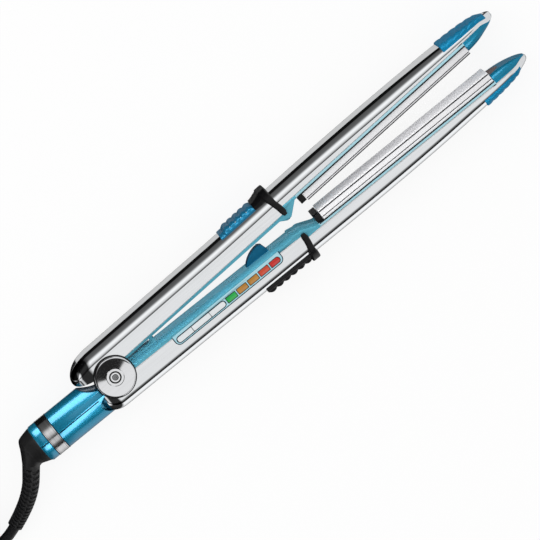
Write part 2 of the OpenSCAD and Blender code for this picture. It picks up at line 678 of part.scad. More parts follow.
board_t = 1.6;
board_w = 9;
board_z1 = panel_z0 - 0.9 - key_travel;
chip_l = 12;
chip_w = 8;
chip_t = 1.6;
relay_l = 16;
relay_h = 6;
module circuit_board() color("#2f6b3a") lower_side() {
  translate([panel_x - 2, panel_top + 2.4, board_z1 - board_t]) cube([panel_l + 4, board_w, board_t]);
  // lamps behind the windows
  for (k = [0:lamp_n - 1]) translate([lamp_x + k * lamp_pitch + lamp_l / 2 - 1.5, row_h - 1.2, board_z1])
    cube([3, 2.4, panel_z0 - board_z1]);
  // control chip and relay on the inner side
  translate([panel_x + panel_l - row_inset - 2 * chip_l, panel_top + 3, board_z1 - board_t - chip_t])
    cube([chip_l, chip_w, chip_t]);
  translate([panel_x + relay_l / 2, panel_top + 3, board_z1 - board_t - relay_h])
    cube([relay_l, chip_w, relay_h]);
}
module key_switches() color("#3b3b3f") lower_side() for (k = [0:2])
  translate([(key_x[k] + key_x[k + 1]) / 2, row_h, board_z1]) {
    translate([-2.2, -2.2, 0]) cube([4.4, 4.4, 0.5]);
    cylinder(d = 2, h = 0.9);
  }

// Pin, caps and screws of the main hinge
cap_flat_r = 4.6;
module hinge_pin() color("silver") translate([0, 0, side_proud + 1.6]) difference() {
  cylinder(d = pin_d, h = total_z - 2 * (side_proud + 1.6));
  translate([0, 0, -1]) cylinder(d = 2.5, h = total_z);
}
module hinge_cap() difference() {
  union() {
    // domed disc with a flat middle, and the boss that stands on the lug
    rotate_extrude() polygon(concat(
      [[0, 0]],
      [for (i = [0:6]) [cap_flat_r + (cap_d / 2 - 0.4 - cap_flat_r) * sin(15 * i), 1.7 * (1 - cos(15 * i))]],
      [[cap_d / 2, 1.8], [cap_d / 2, side_proud - run_gap], [0, side_proud - run_gap]]
    ));
    translate([0, 0, side_proud - run_gap - 0.5])
      cylinder(d = knuckle_d - 3, h = mid_z - lug_z1 - side_proud + run_gap + 0.5);
  }
  // ring groove and screw hole
  translate([0, 0, -1]) difference() {
    cylinder(d = 7, h = 1.5);
    translate([0, 0, -1]) cylinder(d = 5.8, h = 3);
  }
  translate([0, 0, -1]) cylinder(d = 2.7, h = 10);
  translate([0, 0, -1]) cylinder(d = 4.3, h = 1.8);
  // recess for the end of the pin
  translate([0, 0, side_proud + 1.6]) cylinder(d = pin_d, h = 5);
}
module hinge_cap_bottom() color(steel) hinge_cap();
module hinge_cap_top() color(steel) translate([0, 0, total_z]) mirror([0, 0, 1]) hinge_cap();
module hinge_screw() {
  difference() {
    translate([0, 0, 0.1]) cylinder(d = 4.2, h = 0.7);
    translate([0, 0, -0.5]) cylinder(d = 1.8, h = 1);
  }
  translate([0, 0, 0.8]) cylinder(d = 2.5, h = 8);
}
module hinge_screws() color("dimgray") {
  hinge_screw();
  translate([0, 0, total_z]) mirror([0, 0, 1]) hinge_screw();
}

// Torsion spring round the pin that opens the arms
spring_d = 10.4;
spring_wire = 1.4;
spring_turns = 3;
seat_y = 0.4;
module opening_spring() color("gray") translate([0, 0, mid_z]) {
  steps = 16 * spring_turns;
  r = (spring_d - spring_wire) / 2;
  a0 = 14.5;
  a1 = 38 + open_angle;
  z1 = 0.2 + steps * spring_wire * 1.06 / 16;
  tube([for (i = [0:steps]) let(a = a0 - (360 * spring_turns - a1 + a0) * i / steps)
    [r * cos(a), r * sin(a), 0.2 + (z1 - 0.2) * i / steps]], spring_wire / 2, 6);
  // leg on the lower arm's seat
  translate([r * cos(a0) - 0.3, seat_y + spring_wire / 2, 0.2]) rotate([0, 90, 0])
    cylinder(d = spring_wire, h = 23);
  // leg in the upper liner's slot
  rotate([0, 0, a1]) translate([r - 0.3, 0, z1]) rotate([0, 90, 0]) cylinder(d = spring_wire, h = 9);
}

// Round tube of radius r through points, with n sides
function unit(v) = v / norm(v);
function lead_dir(p, i) = unit(p[min(i + 1, len(p) - 1)] - p[max(i - 1, 0)]);
function hoop(c, d, r, n, up = [0, 0, 1]) = let(s = unit(cross(d, up)), t = cross(s, d))
  [for (j = [0:n - 1]) c + r * (cos(360 * j / n) * s + sin(360 * j / n) * t)];
module tube(points, r, n) loft([for (i = [0:len(points) - 1]) hoop(points[i], lead_dir(points, i), r, n)]);

// Barrel behind the hinge, split along its axis
scoop_c = [-7, 17];
scoop_r = 18.5;
tail_y = -tail_h;
tail_r = tail_d / 2;
band_r = tail_r - 0.8;
band_x = tail_end - tail_rim - band_l;
spool_d = 12;
screw_x = [-22, -32];
screw_head_d = 4.4;
screw_z = -tongue_w - screw_head_d / 2 - run_gap;
module round_x(x0, x1, r) translate([x0, tail_y, mid_z]) rotate([0, 90, 0]) cylinder(r = r, h = x1 - x0);

module tail_body() difference() {
  union() {
    round_x(-tail_end + 2, 0, tail_r);
    // bevelled rear end
    translate([-tail_end, tail_y, mid_z]) rotate([0, 90, 0]) cylinder(r1 = tail_r - 1.3, r2 = tail_r, h = 2);
  }
  // groove for the band
  difference() {
    round_x(-tail_end + tail_rim, -band_x, tail_r + 1);
    round_x(-tail_end, 0, band_r);
  }
  // hollow behind the clamping block, and the end wall's hole
  round_x(-tail_end + 3.5, -tongue_end - 1.5, tail_r - tail_t - 1);
  round_x(-tail_end - 1, -band_x, spool_d / 2 + slip_gap);
  // pocket of the liner's tongue
  translate([-tongue_end - 2, -tongue_y1 - slip_gap, mid_z - tongue_w - slip_gap])
    cube([tongue_end + 5, tongue_y1 - tongue_y0 + 2 * slip_gap, 2 * (tongue_w + slip_gap)]);
  for (x = screw_x) translate([x, tail_y, mid_z + screw_z]) rotate([90, 0, 0]) {
    translate([0, 0, -5]) cylinder(d = 2.5, h = 20);
    translate([0, 0, 4]) cylinder(d = screw_head_d + 0.2, h = 12);
  }
  // room for the lower shell
  lower_side() slab(rear_outline(lower_end, [lower_edge_rear, lower_edge_front], seat_gap), half_w + 1);
}

module tail_half_upper() color(teal) difference() {
  tail_body();
  translate([-tail_end - 1, tail_y - 2 * tail_r, 0]) cube([tail_end + 2, 2 * tail_r, total_z]);
  // scoop for the upper arm's rear end
  translate([scoop_c.x, scoop_c.y, 0]) cylinder(r = scoop_r, h = total_z);
  cylinder(r = cap_d / 2 - 1.5, h = total_z);
}
module tail_half_lower() color(teal) difference() {
  tail_body();
  translate([-tail_end - 1, tail_y, 0]) cube([tail_end + 2, 2 * tail_r, total_z]);
}
module tail_band() color(steel) difference() {
  round_x(-tail_end + tail_rim, -band_x, tail_r + 0.15);
  round_x(-tail_end, 0, band_r);
}
module tail_screws() color("dimgray") for (x = screw_x)
  translate([x, tail_y, mid_z + screw_z]) rotate([90, 0, 0]) {
    translate([0, 0, -4]) cylinder(d = 2.5, h = 9);
    translate([0, 0, 4]) cylinder(d = screw_head_d, h = 1.6);
  }

// Contacts that carry the current into the turning lead
core_d = 8;
module slip_rings() color("goldenrod") for (x = [-41, -46]) difference() {
  round_x(x - 1.5, x + 1.5, core_d / 2 + 1);
  round_x(x - 2, x + 2, core_d / 2);
}
module slip_brushes() color("goldenrod") for (i = [0, 1])
  translate([-41.5 - 5 * i, tail_y - core_d / 2 - 1 - run_gap - 0.4, mid_z + 5 * i - 4])
    cube([41.5 + 5 * i - tongue_end, 0.4, 3]);

// Angled boot that turns in the end of the barrel
boot_r = 11.2;
boot_path = [
  [-tail_end - run_gap, tail_y, mid_z], [-61.2, -5.5, mid_z], [-63.4, -6.2, mid_z], [-65.6, -7.6, mid_z],
  [-67.6, -9.4, mid_z], [-69.4, -11.6, mid_z]
];
boot_radii = [boot_r, 10.8, 9.6, 8, 6.6, relief_d / 2 + 0.4];
boot_tilt = [0, 4, 12, 24, 38, 51];
module swivel_boot() color(black) {
  loft([for (i = [0:5]) hoop(boot_path[i], [-cos(boot_tilt[i]), -sin(boot_tilt[i]), 0], boot_radii[i], 28)]);
  round_x(-tail_end - run_gap - 0.5, -tail_end + 6, spool_d / 2);
  round_x(-tail_end + 3.5 + run_gap, -tail_end + 6, spool_d / 2 + 2);
  round_x(-tail_end, -37, core_d / 2);
}

// Ribbed strain relief moulded on the cord
relief_path = [
  [-69.6, -11.85, 16], [-72.8, -15.8, 15.8], [-76.2, -19.8, 15.2], [-79.6, -23, 14.2],
  [-83, -25.7, 13], [-86.4, -28, 11.7], [-89.8, -30, 10.4], [-93.1, -31.8, 9.1], [-96.4, -33.4, 8]
];
relief_n = 64;
function blend(p, t) = let(i = min(len(p) - 2, floor(t * (len(p) - 1))), f = t * (len(p) - 1) - i,
  a = p[max(0, i - 1)], b = p[i], c = p[i + 1], d = p[min(len(p) - 1, i + 2)])
  0.5 * (2 * b + (c - a) * f + (2 * a - 5 * b + 4 * c - d) * f * f + (3 * b - a - 3 * c + d) * f * f * f);
module strain_relief() color(black) {
  line = [for (i = [0:relief_n]) blend(relief_path, i / relief_n)];
  slot_t = 0.7;
  loft([for (i = [0:relief_n]) hoop(line[i], lead_dir(line, i),
    (relief_d + (relief_end_d - relief_d) * i / relief_n) / 2
      - (i > 8 && i < relief_n - 2 && i % 4 < 2 ? slot_t : 0), 12)]);
}

// Route of the cord from the strain relief to the hank, and from the hank to the plug
tie_t = 0.8;
cord_r = cord_d / 2;
cord_z = tie_t + cord_r;
cord_points = [
  [-96.4, -33.4, 8], [-101, -35.5, 6.5], [-106, -37.2, 5.2], [-112, -38.2, 4.3], [-121.9, -38.4, 4.05]
];
hank_c = [-190.5, -12.3];
hank_run = 100;
hank_r = 26.1;
hank_inner_r = 19.5;
hank_layers = 4;
hank_pitch = 6.6;
hank_top = tie_t + hank_layers * hank_pitch;
lead_out_points = [
  [-265.1, -31.8, 23.8], [-272, -31.8, 22.3], [-280, -31.6, 18.2], [-288, -30.6, 12.7],
  [-296, -28.5, 8.7], [-304, -25.6, 7.2], [-309, -23.6, 7.2]
];
module cord_run() color(black) tube(cord_points, cord_r, 10);
module loop_outline(r) {
  for (s = [-1, 1]) translate([s * hank_run / 2, 0]) circle(r);
  square([hank_run, 2 * r], center = true);
}
module cord_hank() color(black) translate([hank_c.x, hank_c.y, tie_t]) linear_extrude(hank_top - tie_t)
  difference() {
    loop_outline(hank_r + cord_r);
    loop_outline(hank_inner_r - cord_r);
  }
module hank_tie() color("#2b2b30") translate([hank_c.x - 7, hank_c.y, 0]) difference() {
  translate([0, -hank_r - cord_r - tie_t, 0]) cube([14, 2 * (hank_r + cord_r + tie_t), hank_top + tie_t]);
  translate([-1, -hank_r - cord_r, tie_t]) cube([16, 2 * (hank_r + cord_r), hank_top - tie_t]);
}
module cord_lead_out() color(black) tube(lead_out_points, cord_r, 10);

// Moulded two-blade plug at the end of the cord
plug_at = [-309, -23.6, 7.2];
plug_turn = 158.2;
module plug_frame() translate(plug_at) rotate([0, 0, plug_turn]) children();
module plug_body() color(black) plug_frame() {
  rotate([0, 90, 0]) cylinder(r1 = cord_r + 1, r2 = cord_r + 2.2, h = 12, $fn = 32);
  translate([12, 0, 0]) rotate([90, 0, 90]) linear_extrude(22) {
    for (s = [-1, 1]) translate([s * 5.5, 0]) circle(7.2);
    square([11, 14.4], center = true);
  }
}
module plug_blades() color("gold") plug_frame() for (s = [-1, 1])
  translate([34, s * 6.35 - 0.75, -3.2]) cube([17, 1.5, 6.4]);

// Wires inside the arms
wire_d = 1.6;
wire_h = skirt_h + 1.2 + wire_d / 2;
module wire_x(x0, x1, y, z) translate([x0, y, z]) rotate([0, 90, 0]) cylinder(d = wire_d, h = x1 - x0);
// Wire that lies on the carrier and drops into its wire hole
module plate_wire(x0, z) {
  wire_x(x0, plate_x + 9, wire_h, z);
  translate([plate_x + 8, wire_h, z]) rotate([90, 0, 0]) cylinder(d = 1.4, h = 2.8);
}
module lower_wiring() color("firebrick") lower_side() for (s = [-1, 1]) {
  wire_x(-tongue_end + 1, -knuckle_d / 2 - 1.6, lower_rear_h, s * (2.5 - wire_d / 2));
  plate_wire(panel_x + panel_l - 4, 2 * s);
}
module upper_wiring() color("firebrick") upper_side() for (s = [-1, 1]) plate_wire(liner_x + 2, 2 * s);

lower_shell();
lower_liner();
lower_carrier();
lower_nose_cap();
nose_bumper();
lower_collar();
lower_tip_grip();
lower_end_block();
align_fin();
key_panel();
lamp_green();
lamps_amber();
lamp_orange();
lamp_red();
circuit_board();
key_switches();
lower_plate_springs();
hinge_pin();
hinge_cap_top();
hinge_cap_bottom();
hinge_screws();
opening_spring();
tail_half_upper();
tail_half_lower();
tail_band();
tail_screws();
slip_brushes();
lower_wiring();
upper_shell();
upper_liner();
upper_carrier();
upper_nose_cap();
upper_collar();
thumb_grip();
upper_tip_grip();
upper_end_block();
upper_plate_springs();
upper_wiring();
lower_plate();
lower_heater();
heat_sensor();
upper_plate();
upper_heater();
thermal_fuse();
key_power();
key_minus();
key_plus();
swivel_boot();
slip_rings();
strain_relief();
cord_run();
cord_hank();
hank_tie();
cord_lead_out();
plug_body();
plug_blades();
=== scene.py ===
"""Looks of the hair straightener: camera, light, materials and the detailed pieces.

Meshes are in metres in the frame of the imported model. The profile functions of the arms work in
millimetres, with x along an arm, y outwards from the closed plate plane and z from the arm's middle.
"""
import json
import math

import bmesh
import bpy
from mathutils import Matrix, Vector

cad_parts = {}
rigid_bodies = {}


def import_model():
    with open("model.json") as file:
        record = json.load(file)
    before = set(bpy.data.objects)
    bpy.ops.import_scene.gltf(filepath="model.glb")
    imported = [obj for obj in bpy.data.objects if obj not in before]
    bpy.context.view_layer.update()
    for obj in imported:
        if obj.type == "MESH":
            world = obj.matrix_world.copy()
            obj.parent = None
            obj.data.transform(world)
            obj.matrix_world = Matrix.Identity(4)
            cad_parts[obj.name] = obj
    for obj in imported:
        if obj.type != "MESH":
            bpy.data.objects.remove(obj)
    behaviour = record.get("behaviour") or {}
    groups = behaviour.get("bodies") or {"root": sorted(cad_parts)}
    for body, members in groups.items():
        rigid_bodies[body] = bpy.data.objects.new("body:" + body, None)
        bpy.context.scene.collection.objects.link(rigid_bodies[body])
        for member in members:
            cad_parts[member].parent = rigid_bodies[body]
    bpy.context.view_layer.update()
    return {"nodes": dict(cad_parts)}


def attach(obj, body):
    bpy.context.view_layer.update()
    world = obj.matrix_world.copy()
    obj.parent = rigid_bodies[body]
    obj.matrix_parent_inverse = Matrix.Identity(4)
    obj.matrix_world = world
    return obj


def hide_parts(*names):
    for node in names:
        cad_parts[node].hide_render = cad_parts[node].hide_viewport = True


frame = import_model()
NODES = frame["nodes"]
scene = bpy.context.scene
X, Y, Z = (Vector(v) for v in ((1, 0, 0), (0, 1, 0), (0, 0, 1)))

# Sizes in millimetres, as in the part's source

MM = 0.001
OPEN_ANGLE = math.radians(3.0)
ARM_L, HALF_W, ARM_H, SHELL_T = 295.5, 13.5, 18.2, 1.0
MID_Z, TOTAL_Z = 16.0, 32.0
TIP_L, TIP_H, REAR_START = 32.0, 9.0, 4.0
COLLAR_X, SWELL_END = 131.4, 91.4
PLATE_X, PLATE_END, PLATE_EDGE_H = 148.0, 271.6, 8.2
NOSE_X = PLATE_END + 0.3
TAIL_Y, TAIL_R = -5.4, 11.9
CORD_D = 6.5
# An arm has the distance and height of its rear end, the extra height of its back, start and roundness
# of its taper, height of its open edge at the hinge and at the collar, radius between a side face and
# the back, and drop of the shell's edge at the tip.
UPPER = dict(name="upper", rear=21.2, rear_h=10.6, swell=1.8, taper=134.0, power=1.8, edge=(4.8, 4.5),
             round=7.0, wrap=2.0)
LOWER = dict(name="lower", rear=17.0, rear_h=9.5, swell=0.0, taper=150.0, power=2.3, edge=(3.6, 5.3),
             round=6.5, wrap=1.0)


def clamp(v):
    return min(1.0, max(0.0, v))


def bow(s, p):
    """Falls from 1 at 0 to 0 at 1, ever more steeply; a higher p keeps it up for longer."""
    return (1 - clamp(s) ** p) ** 0.5


def ease(t):
    """Rises smoothly from 0 at 0 to 1 at 1."""
    t = clamp(t)
    return t * t * (3 - 2 * t)


def rail(x, arm):
    """Height of an arm's open edge between the hinge and the collar."""
    a, b = arm["edge"]
    return a + (b - a) * clamp(x / COLLAR_X)


def back_at(x, arm):
    """Height of an arm's back."""
    if x < -REAR_START:
        s = (-REAR_START - x) / (arm["rear"] - REAR_START)
        return arm["rear_h"] + (ARM_H + arm["swell"] - arm["rear_h"]) * bow(s, 2.2)
    if x < arm["taper"]:
        return ARM_H + arm["swell"] * max(0.0, 1 - x / SWELL_END)
    return TIP_H + (ARM_H - TIP_H) * bow((x - arm["taper"]) / (ARM_L - arm["taper"]), arm["power"])


def edge_at(x, arm):
    """Height of an arm's open edge."""
    if x < 0:
        a = arm["edge"][0]
        return a + (arm["rear_h"] - a) * (1 - bow(-x / arm["rear"], 1.6))
    y = rail(x, arm)
    if x < COLLAR_X:
        return y
    # the shell wraps round the tip, so its edge drops there and rises to the very end
    wrap = arm["wrap"] * ease((x - ARM_L + 10) / 7) * bow((x - ARM_L + 3) / 3, 2)
    return y + (PLATE_EDGE_H - y) * clamp((x - COLLAR_X) / 1.2) - wrap


def side_at(x, arm):
    """Half width of an arm."""
    if x < -REAR_START:
        return HALF_W * bow((-REAR_START - x) / (arm["rear"] - REAR_START), 2.6)
    return HALF_W * bow((x - ARM_L + TIP_L) / TIP_L, 2.2)


def corner_at(x, arm):
    """Height of an arm's back, its half width, and the radius between the two."""
    hi, w = back_at(x, arm), side_at(x, arm)
    return hi, w, min(arm["round"], 0.92 * w, 0.82 * (hi - edge_at(x, arm)))


def arm_offset(x, arm, angle, g):
    """Height and width of the arm's rounded back, angle from its side (0) to its top (90), g proud."""
    hi, w, r = corner_at(x, arm)
    a = math.radians(angle)
    return (hi - r + (r + g) * math.sin(a), w - r + (r + g) * math.cos(a))


def place(p, arm):
    """A point of an arm's own frame, in metres in the model's frame."""
    x, y, z = p
    if arm is UPPER:
        c, s = math.cos(OPEN_ANGLE), math.sin(OPEN_ANGLE)
        x, y = c * x - s * y, s * x + c * y
    else:
        y = -y
    return Vector((x, y, z + MID_Z)) * MM


# Camera, turned and tilted as the picture shows the arms

CAM_TURN, CAM_TILT = math.radians(39.2), math.radians(11.0)
CAM_RANGE, SENSOR = 2.6, 36
CAM_TARGET = Vector((0.1060, -0.00834, 0.032))
# width of a pixel at the object, and pixels along a side of the picture
PIXEL, PICTURE = 0.000565, 540


def make_camera():
    v = Vector((0, math.cos(CAM_TILT), -math.sin(CAM_TILT)))
    right = math.cos(CAM_TURN) * X - math.sin(CAM_TURN) * v
    up = math.sin(CAM_TURN) * X + math.cos(CAM_TURN) * v
    back = right.cross(up)
    data = bpy.data.cameras.new("camera")
    data.sensor_width = SENSOR
    data.lens = SENSOR * CAM_RANGE / (PICTURE * PIXEL)
    data.clip_start, data.clip_end = 0.1, 20
    cam = bpy.data.objects.new("camera", data)
    scene.collection.objects.link(cam)
    m = Matrix((right, up, back)).transposed().to_4x4()
    m.translation = CAM_TARGET + CAM_RANGE * back
    cam.matrix_world = m
    scene.camera = cam


make_camera()

# Materials


def lin(hexa):
    """Linear colour of a screen colour such as 'a0b0c0'."""
    out = []
    for i in (0, 2, 4):
        c = int(hexa[i:i + 2], 16) / 255
        out.append(c / 12.92 if c <= 0.04045 else ((c + 0.055) / 1.055) ** 2.4)
    return (*out, 1.0)


def shade(c, f):
    return (min(1, c[0] * f), min(1, c[1] * f), min(1, c[2] * f), 1.0)


def grey(v):
    return (v, v, v, 1.0)


def node(tree, kind, *values, **named):
    """New shader node. Lower-case names set properties; values and other names, inputs or links."""
    n = tree.nodes.new("ShaderNode" + kind)
    for key, value in named.items():
        if key[0].islower():
            setattr(n, key, value)
    sockets = list(zip(n.inputs, values))
    sockets += [(n.inputs[k.replace("_", " ")], v) for k, v in named.items() if k[0].isupper()]
    for socket, value in sockets:
        if isinstance(value, bpy.types.NodeSocket):
            tree.links.new(value, socket)
        else:
            socket.default_value = value
    return n


def ramp(tree, fac, stops):
    """Colour ramp through stops of (position, colour)."""
    r = node(tree, "ValToRGB", fac)
    e = r.color_ramp.elements
    e[0].position, e[0].color = stops[0]
    e[1].position, e[1].color = stops[-1]
    for at, color in stops[1:-1]:
        e.new(at).color = color
    return r.outputs["Color"]


def new_material(name, color, metallic=0.0, rough=0.4, **more):
    mat = bpy.data.materials.new(name)
    mat.use_nodes = True
    mat.diffuse_color = color
    inputs = mat.node_tree.nodes["Principled BSDF"].inputs
    for key, value in dict(Base_Color=color, Metallic=metallic, Roughness=rough, **more).items():
        inputs[key.replace("_", " ")].default_value = value
    return mat


def feed(mat, key, socket):
    """Links a socket to an input of the material's shader."""
    tree = mat.node_tree
    tree.links.new(socket, tree.nodes["Principled BSDF"].inputs[key])


def noise(mat, scale, detail=3.0, stretch=(1, 1, 1)):
    """Noise over the object's own coordinates; a small stretch along an axis draws it out there."""
    tree = mat.node_tree
    at = node(tree, "Mapping", Vector=node(tree, "TexCoord").outputs["Object"], Scale=stretch)
    return node(tree, "TexNoise", Vector=at.outputs[0], Scale=scale, Detail=detail).outputs["Fac"]


def vary_color(mat, fac, color, dark, light):
    stops = [(0.35, shade(color, dark)), (0.65, shade(color, light))]
    feed(mat, "Base Color", ramp(mat.node_tree, fac, stops))


def vary_rough(mat, fac, lo, hi):
    m = node(mat.node_tree, "MapRange", Value=fac, From_Min=0.3, From_Max=0.7, To_Min=lo, To_Max=hi)
    feed(mat, "Roughness", m.outputs["Result"])


def add_bump(mat, height, strength, distance):
    b = node(mat.node_tree, "Bump", Strength=strength, Distance=distance, Height=height)
    feed(mat, "Normal", b.outputs["Normal"])


def polished_steel(name, color, rough):
    """Polished metal with faint smears and fine lengthwise polishing lines."""
    mat = new_material(name, color, metallic=1.0, rough=rough)
    lines = noise(mat, 1.0, 2, (30, 900, 900))
    vary_rough(mat, noise(mat, 60, 4), rough, rough + 0.012)
    vary_color(mat, lines, color, 0.975, 1.02)
    add_bump(mat, lines, 0.02, 0.00002)
    return mat


# Tint of the lacquer's gloss
GLOSS_TINT = (0.08, 0.36, 0.5, 1)


def metallic_paint(name, color, rough=0.27, metallic=0.5, spread=0.08, coat=0.8, level=0.3):
    """Tinted metallic lacquer: fine flakes, a soft drift of tone and a thin clear coat."""
    mat = new_material(name, color, metallic, rough, Specular_Tint=GLOSS_TINT, Specular_IOR_Level=level,
                       Coat_Weight=coat, Coat_Roughness=0.14)
    tree = mat.node_tree
    drift, flakes = noise(mat, 45), noise(mat, 5200, 1)
    part = node(tree, "Math", drift, 0.65, operation="MULTIPLY").outputs[0]
    mix = node(tree, "Math", flakes, 0.35, part, operation="MULTIPLY_ADD").outputs[0]
    vary_color(mat, mix, color, 1 - spread, 1 + spread)
    vary_rough(mat, drift, rough - 0.03, rough + 0.05)
    add_bump(mat, flakes, 0.03, 0.00003)
    return mat


def moulded(name, color, rough=0.42, grain=3800, strength=0.10, spread=0.12, **more):
    """Moulded plastic or rubber with a fine grain and uneven gloss."""
    mat = new_material(name, color, rough=rough, **more)
    blotch = noise(mat, 110)
    vary_color(mat, blotch, color, 1 - spread, 1 + spread)
    vary_rough(mat, blotch, rough - 0.06, rough + 0.08)
    add_bump(mat, noise(mat, grain), strength, 0.00008)
    return mat


def brushed(name, color, rough=0.3, stretch=(40, 2600, 2600), strength=0.12):
    """Metal with fine parallel brush lines; stretch is small along the lines."""
    mat = new_material(name, color, metallic=1.0, rough=rough)
    lines = noise(mat, 1.0, stretch=stretch)
    vary_color(mat, lines, color, 0.86, 1.08)
    vary_rough(mat, noise(mat, 130), rough - 0.06, rough + 0.08)
    add_bump(mat, lines, strength, 0.00004)
    return mat


STEEL = polished_steel("polished_steel", lin("e9ebed"), 0.03)
CAP_STEEL = polished_steel("cap_steel", lin("e6e7e9"), 0.035)
TEAL = metallic_paint("teal_metallic", lin("1a82a4"))
TEAL_LINER = metallic_paint("teal_liner", lin("5ca9be"), coat=0.2)
TEAL_DEEP = metallic_paint("teal_deep", lin("16769e"), rough=0.36, metallic=0.12, coat=0.0, level=0.2)
TEAL_DARK = metallic_paint("teal_dark", lin("1f7094"), rough=0.3, metallic=0.25, coat=0.1, level=0.2)
TEAL_NOSE = metallic_paint("teal_nose", lin("1a7797"), rough=0.34, metallic=0.3, coat=0.2, level=0.2)
TEAL_PALE = metallic_paint("teal_pale", lin("b4e2ee"), rough=0.35, metallic=0.15, spread=0.04)
TEAL_LINE = moulded("teal_line", lin("072b3a"), rough=0.7, Specular_IOR_Level=0.1)
BLACK = moulded("black_plastic", lin("0e0e10"), rough=0.38, strength=0.12, Specular_IOR_Level=0.3)
RUBBER = moulded("black_rubber", lin("1b1b1c"), strength=0.16)
CORD = moulded("cord_rubber", lin("131315"), rough=0.46)
TAUPE = moulded("taupe_rubber", lin("6a5d5b"), rough=0.55, strength=0.15)
PLATE = moulded("plate_coat", lin("ececee"), rough=0.5, grain=5200, strength=0.03, spread=0.015,
                Specular_IOR_Level=0.15)
BAND = brushed("band_steel", lin("c9c9ca"), rough=0.16, stretch=(2600, 60, 60), strength=0.2)
# near black for dark joints, and for painted shade in the grooves and along the edges of the caps and
# plates
DARK_JOINT_AND_SHADE = moulded("dark_joint_and_painted_shade", lin("08090a"), rough=0.6)
KEY_PALE = moulded("key_pale", lin("e4e8ea"), rough=0.3, strength=0.04, spread=0.03)
GLASS = dict(rough=0.16, strength=0.03, spread=0.10, grain=900, Coat_Weight=0.6, Coat_Roughness=0.05)
LAMP_GREEN = moulded("lamp_green", lin("22a848"), **GLASS)
LAMP_AMBER = moulded("lamp_amber", lin("bb8233"), **GLASS)
LAMP_ORANGE = moulded("lamp_orange", lin("c5452a"), **GLASS)
LAMP_RED = moulded("lamp_red", lin("c12a24"), **GLASS)
BARE = brushed("bare_steel", lin("a9abad"))
BRASS = brushed("brass", lin("c8a45a"))
CERAMIC = moulded("ceramic", lin("dedbd0"), rough=0.6)
BOARD = moulded("board_green", lin("2c5e38"), rough=0.35)
WIRE = moulded("wire_red", lin("9a2420"), rough=0.45)
# pale dots on the upper thumb rest: painted highlights
HIGHLIGHT_DOT = moulded("painted_highlight_dot", lin("bfe3ee"), rough=0.35, strength=0.02, spread=0.03)

# Meshes


def smooth(me, angle):
    me.polygons.foreach_set("use_smooth", [True] * len(me.polygons))
    me.set_sharp_from_angle(angle=math.radians(angle))
    me.update()


def outward_mesh(name, verts, faces):
    """Mesh with all its faces turned outwards."""
    me = bpy.data.meshes.new(name)
    me.from_pydata([tuple(v) for v in verts], [], faces)
    bm = bmesh.new()
    bm.from_mesh(me)
    bmesh.ops.recalc_face_normals(bm, faces=bm.faces)
    bm.to_mesh(me)
    bm.free()
    return me


def mesh_object(name, solid, mat, body, angle):
    me = outward_mesh(name, *solid)
    ob = bpy.data.objects.new(name, me)
    scene.collection.objects.link(ob)
    me.materials.append(mat)
    smooth(me, angle)
    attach(ob, body)
    return ob


def piece(name, solid, mat, body, node_name=None, angle=60.0):
    """A piece made here, which may stand for a node; angle is where its edges stay sharp."""
    ob = mesh_object(name, solid, mat, body, angle)
    if node_name:
        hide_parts(node_name)
    return ob


def ring_angles(n):
    """Angles of n points round a circle."""
    return [2 * math.pi * k / n for k in range(n)]


def ring_points(center, s, t, r, n):
    """n points round a circle in the plane of the directions s and t."""
    return [center + r * (math.cos(a) * s + math.sin(a) * t) for a in ring_angles(n)]


def arc_angles(start, stop, n):
    """n + 1 angles from start to stop, which are in degrees."""
    return [math.radians(start + (stop - start) * k / n) for k in range(n + 1)]


def arc_points(x, y, r, start, stop, n):
    return [(x + r * math.cos(a), y + r * math.sin(a)) for a in arc_angles(start, stop, n)]


def mirrored(half):
    """A row of (y, z) points up to the middle, followed by its mirror image."""
    return half + [(y, -z) for y, z in half[-2::-1]]


def grid_faces(rows, cols, round_cols=False, round_rows=False):
    """Faces between rows of equally many points, which may join up at their ends."""
    out = []
    for i in range(rows if round_rows else rows - 1):
        for j in range(cols if round_cols else cols - 1):
            a, b, k = i * cols, (i + 1) % rows * cols, (j + 1) % cols
            out.append((a + j, a + k, b + k, b + j))
    return out


def loft(rings, closed=False):
    """Solid, as vertices and faces, through rings of equally many points; closed has no ends."""
    n = len(rings[0])
    verts = [p for r in rings for p in r]
    faces = grid_faces(len(rings), n, True, closed)
    if not closed:
        faces.append(tuple(range(n - 1, -1, -1)))
        faces.append(tuple(range(len(verts) - n, len(verts))))
    return verts, faces


def tube(points, radius, n=8, closed=False):
    """Round tube through points, in metres."""
    rings = []
    last = len(points) - 1
    for i, p in enumerate(points):
        a, b = points[max(i - 1, 0)], points[min(i + 1, last)]
        if closed:
            a, b = points[i - 1], points[(i + 1) % len(points)]
        d = (b - a).normalized()
        s = d.cross(Z)
        s = s.normalized() if s.length > 1e-6 else X
        rings.append(ring_points(p, s, s.cross(d), radius, n))
    return loft(rings, closed)


def merge(parts):
    verts, faces = [], []
    for v, f in parts:
        k = len(verts)
        verts += list(v)
        faces += [tuple(i + k for i in t) for t in f]
    return verts, faces


def lathe(profile, n):
    """Closed solid of revolution about Z; profile is (r, z) in millimetres, from the axis back to it."""
    rings = []
    verts, faces = [], []
    for r, z in profile:
        count = 1 if r < 1e-6 else n
        rings.append(list(range(len(verts), len(verts) + count)))
        verts += ring_points(Vector((0, 0, z * MM)), X, Y, r * MM, count)
    for a, b in zip(rings, rings[1:]):
        for j in range(n):
            k = (j + 1) % n
            if len(a) == 1:
                faces.append((a[0], b[k], b[j]))
            elif len(b) == 1:
                faces.append((a[j], a[k], b[0]))
            else:
                faces.append((a[j], a[k], b[k], b[j]))
    return verts, faces


def prism(outline, z0, z1):
    """Upright prism over an outline of (x, y) points, in millimetres in the model's frame."""
    n = len(outline)
    verts = [Vector((x, y, z)) * MM for z in (z0, z1) for x, y in outline]
    faces = [tuple(range(n - 1, -1, -1)), tuple(range(n, 2 * n))]
    return verts, faces + grid_faces(2, n, True)


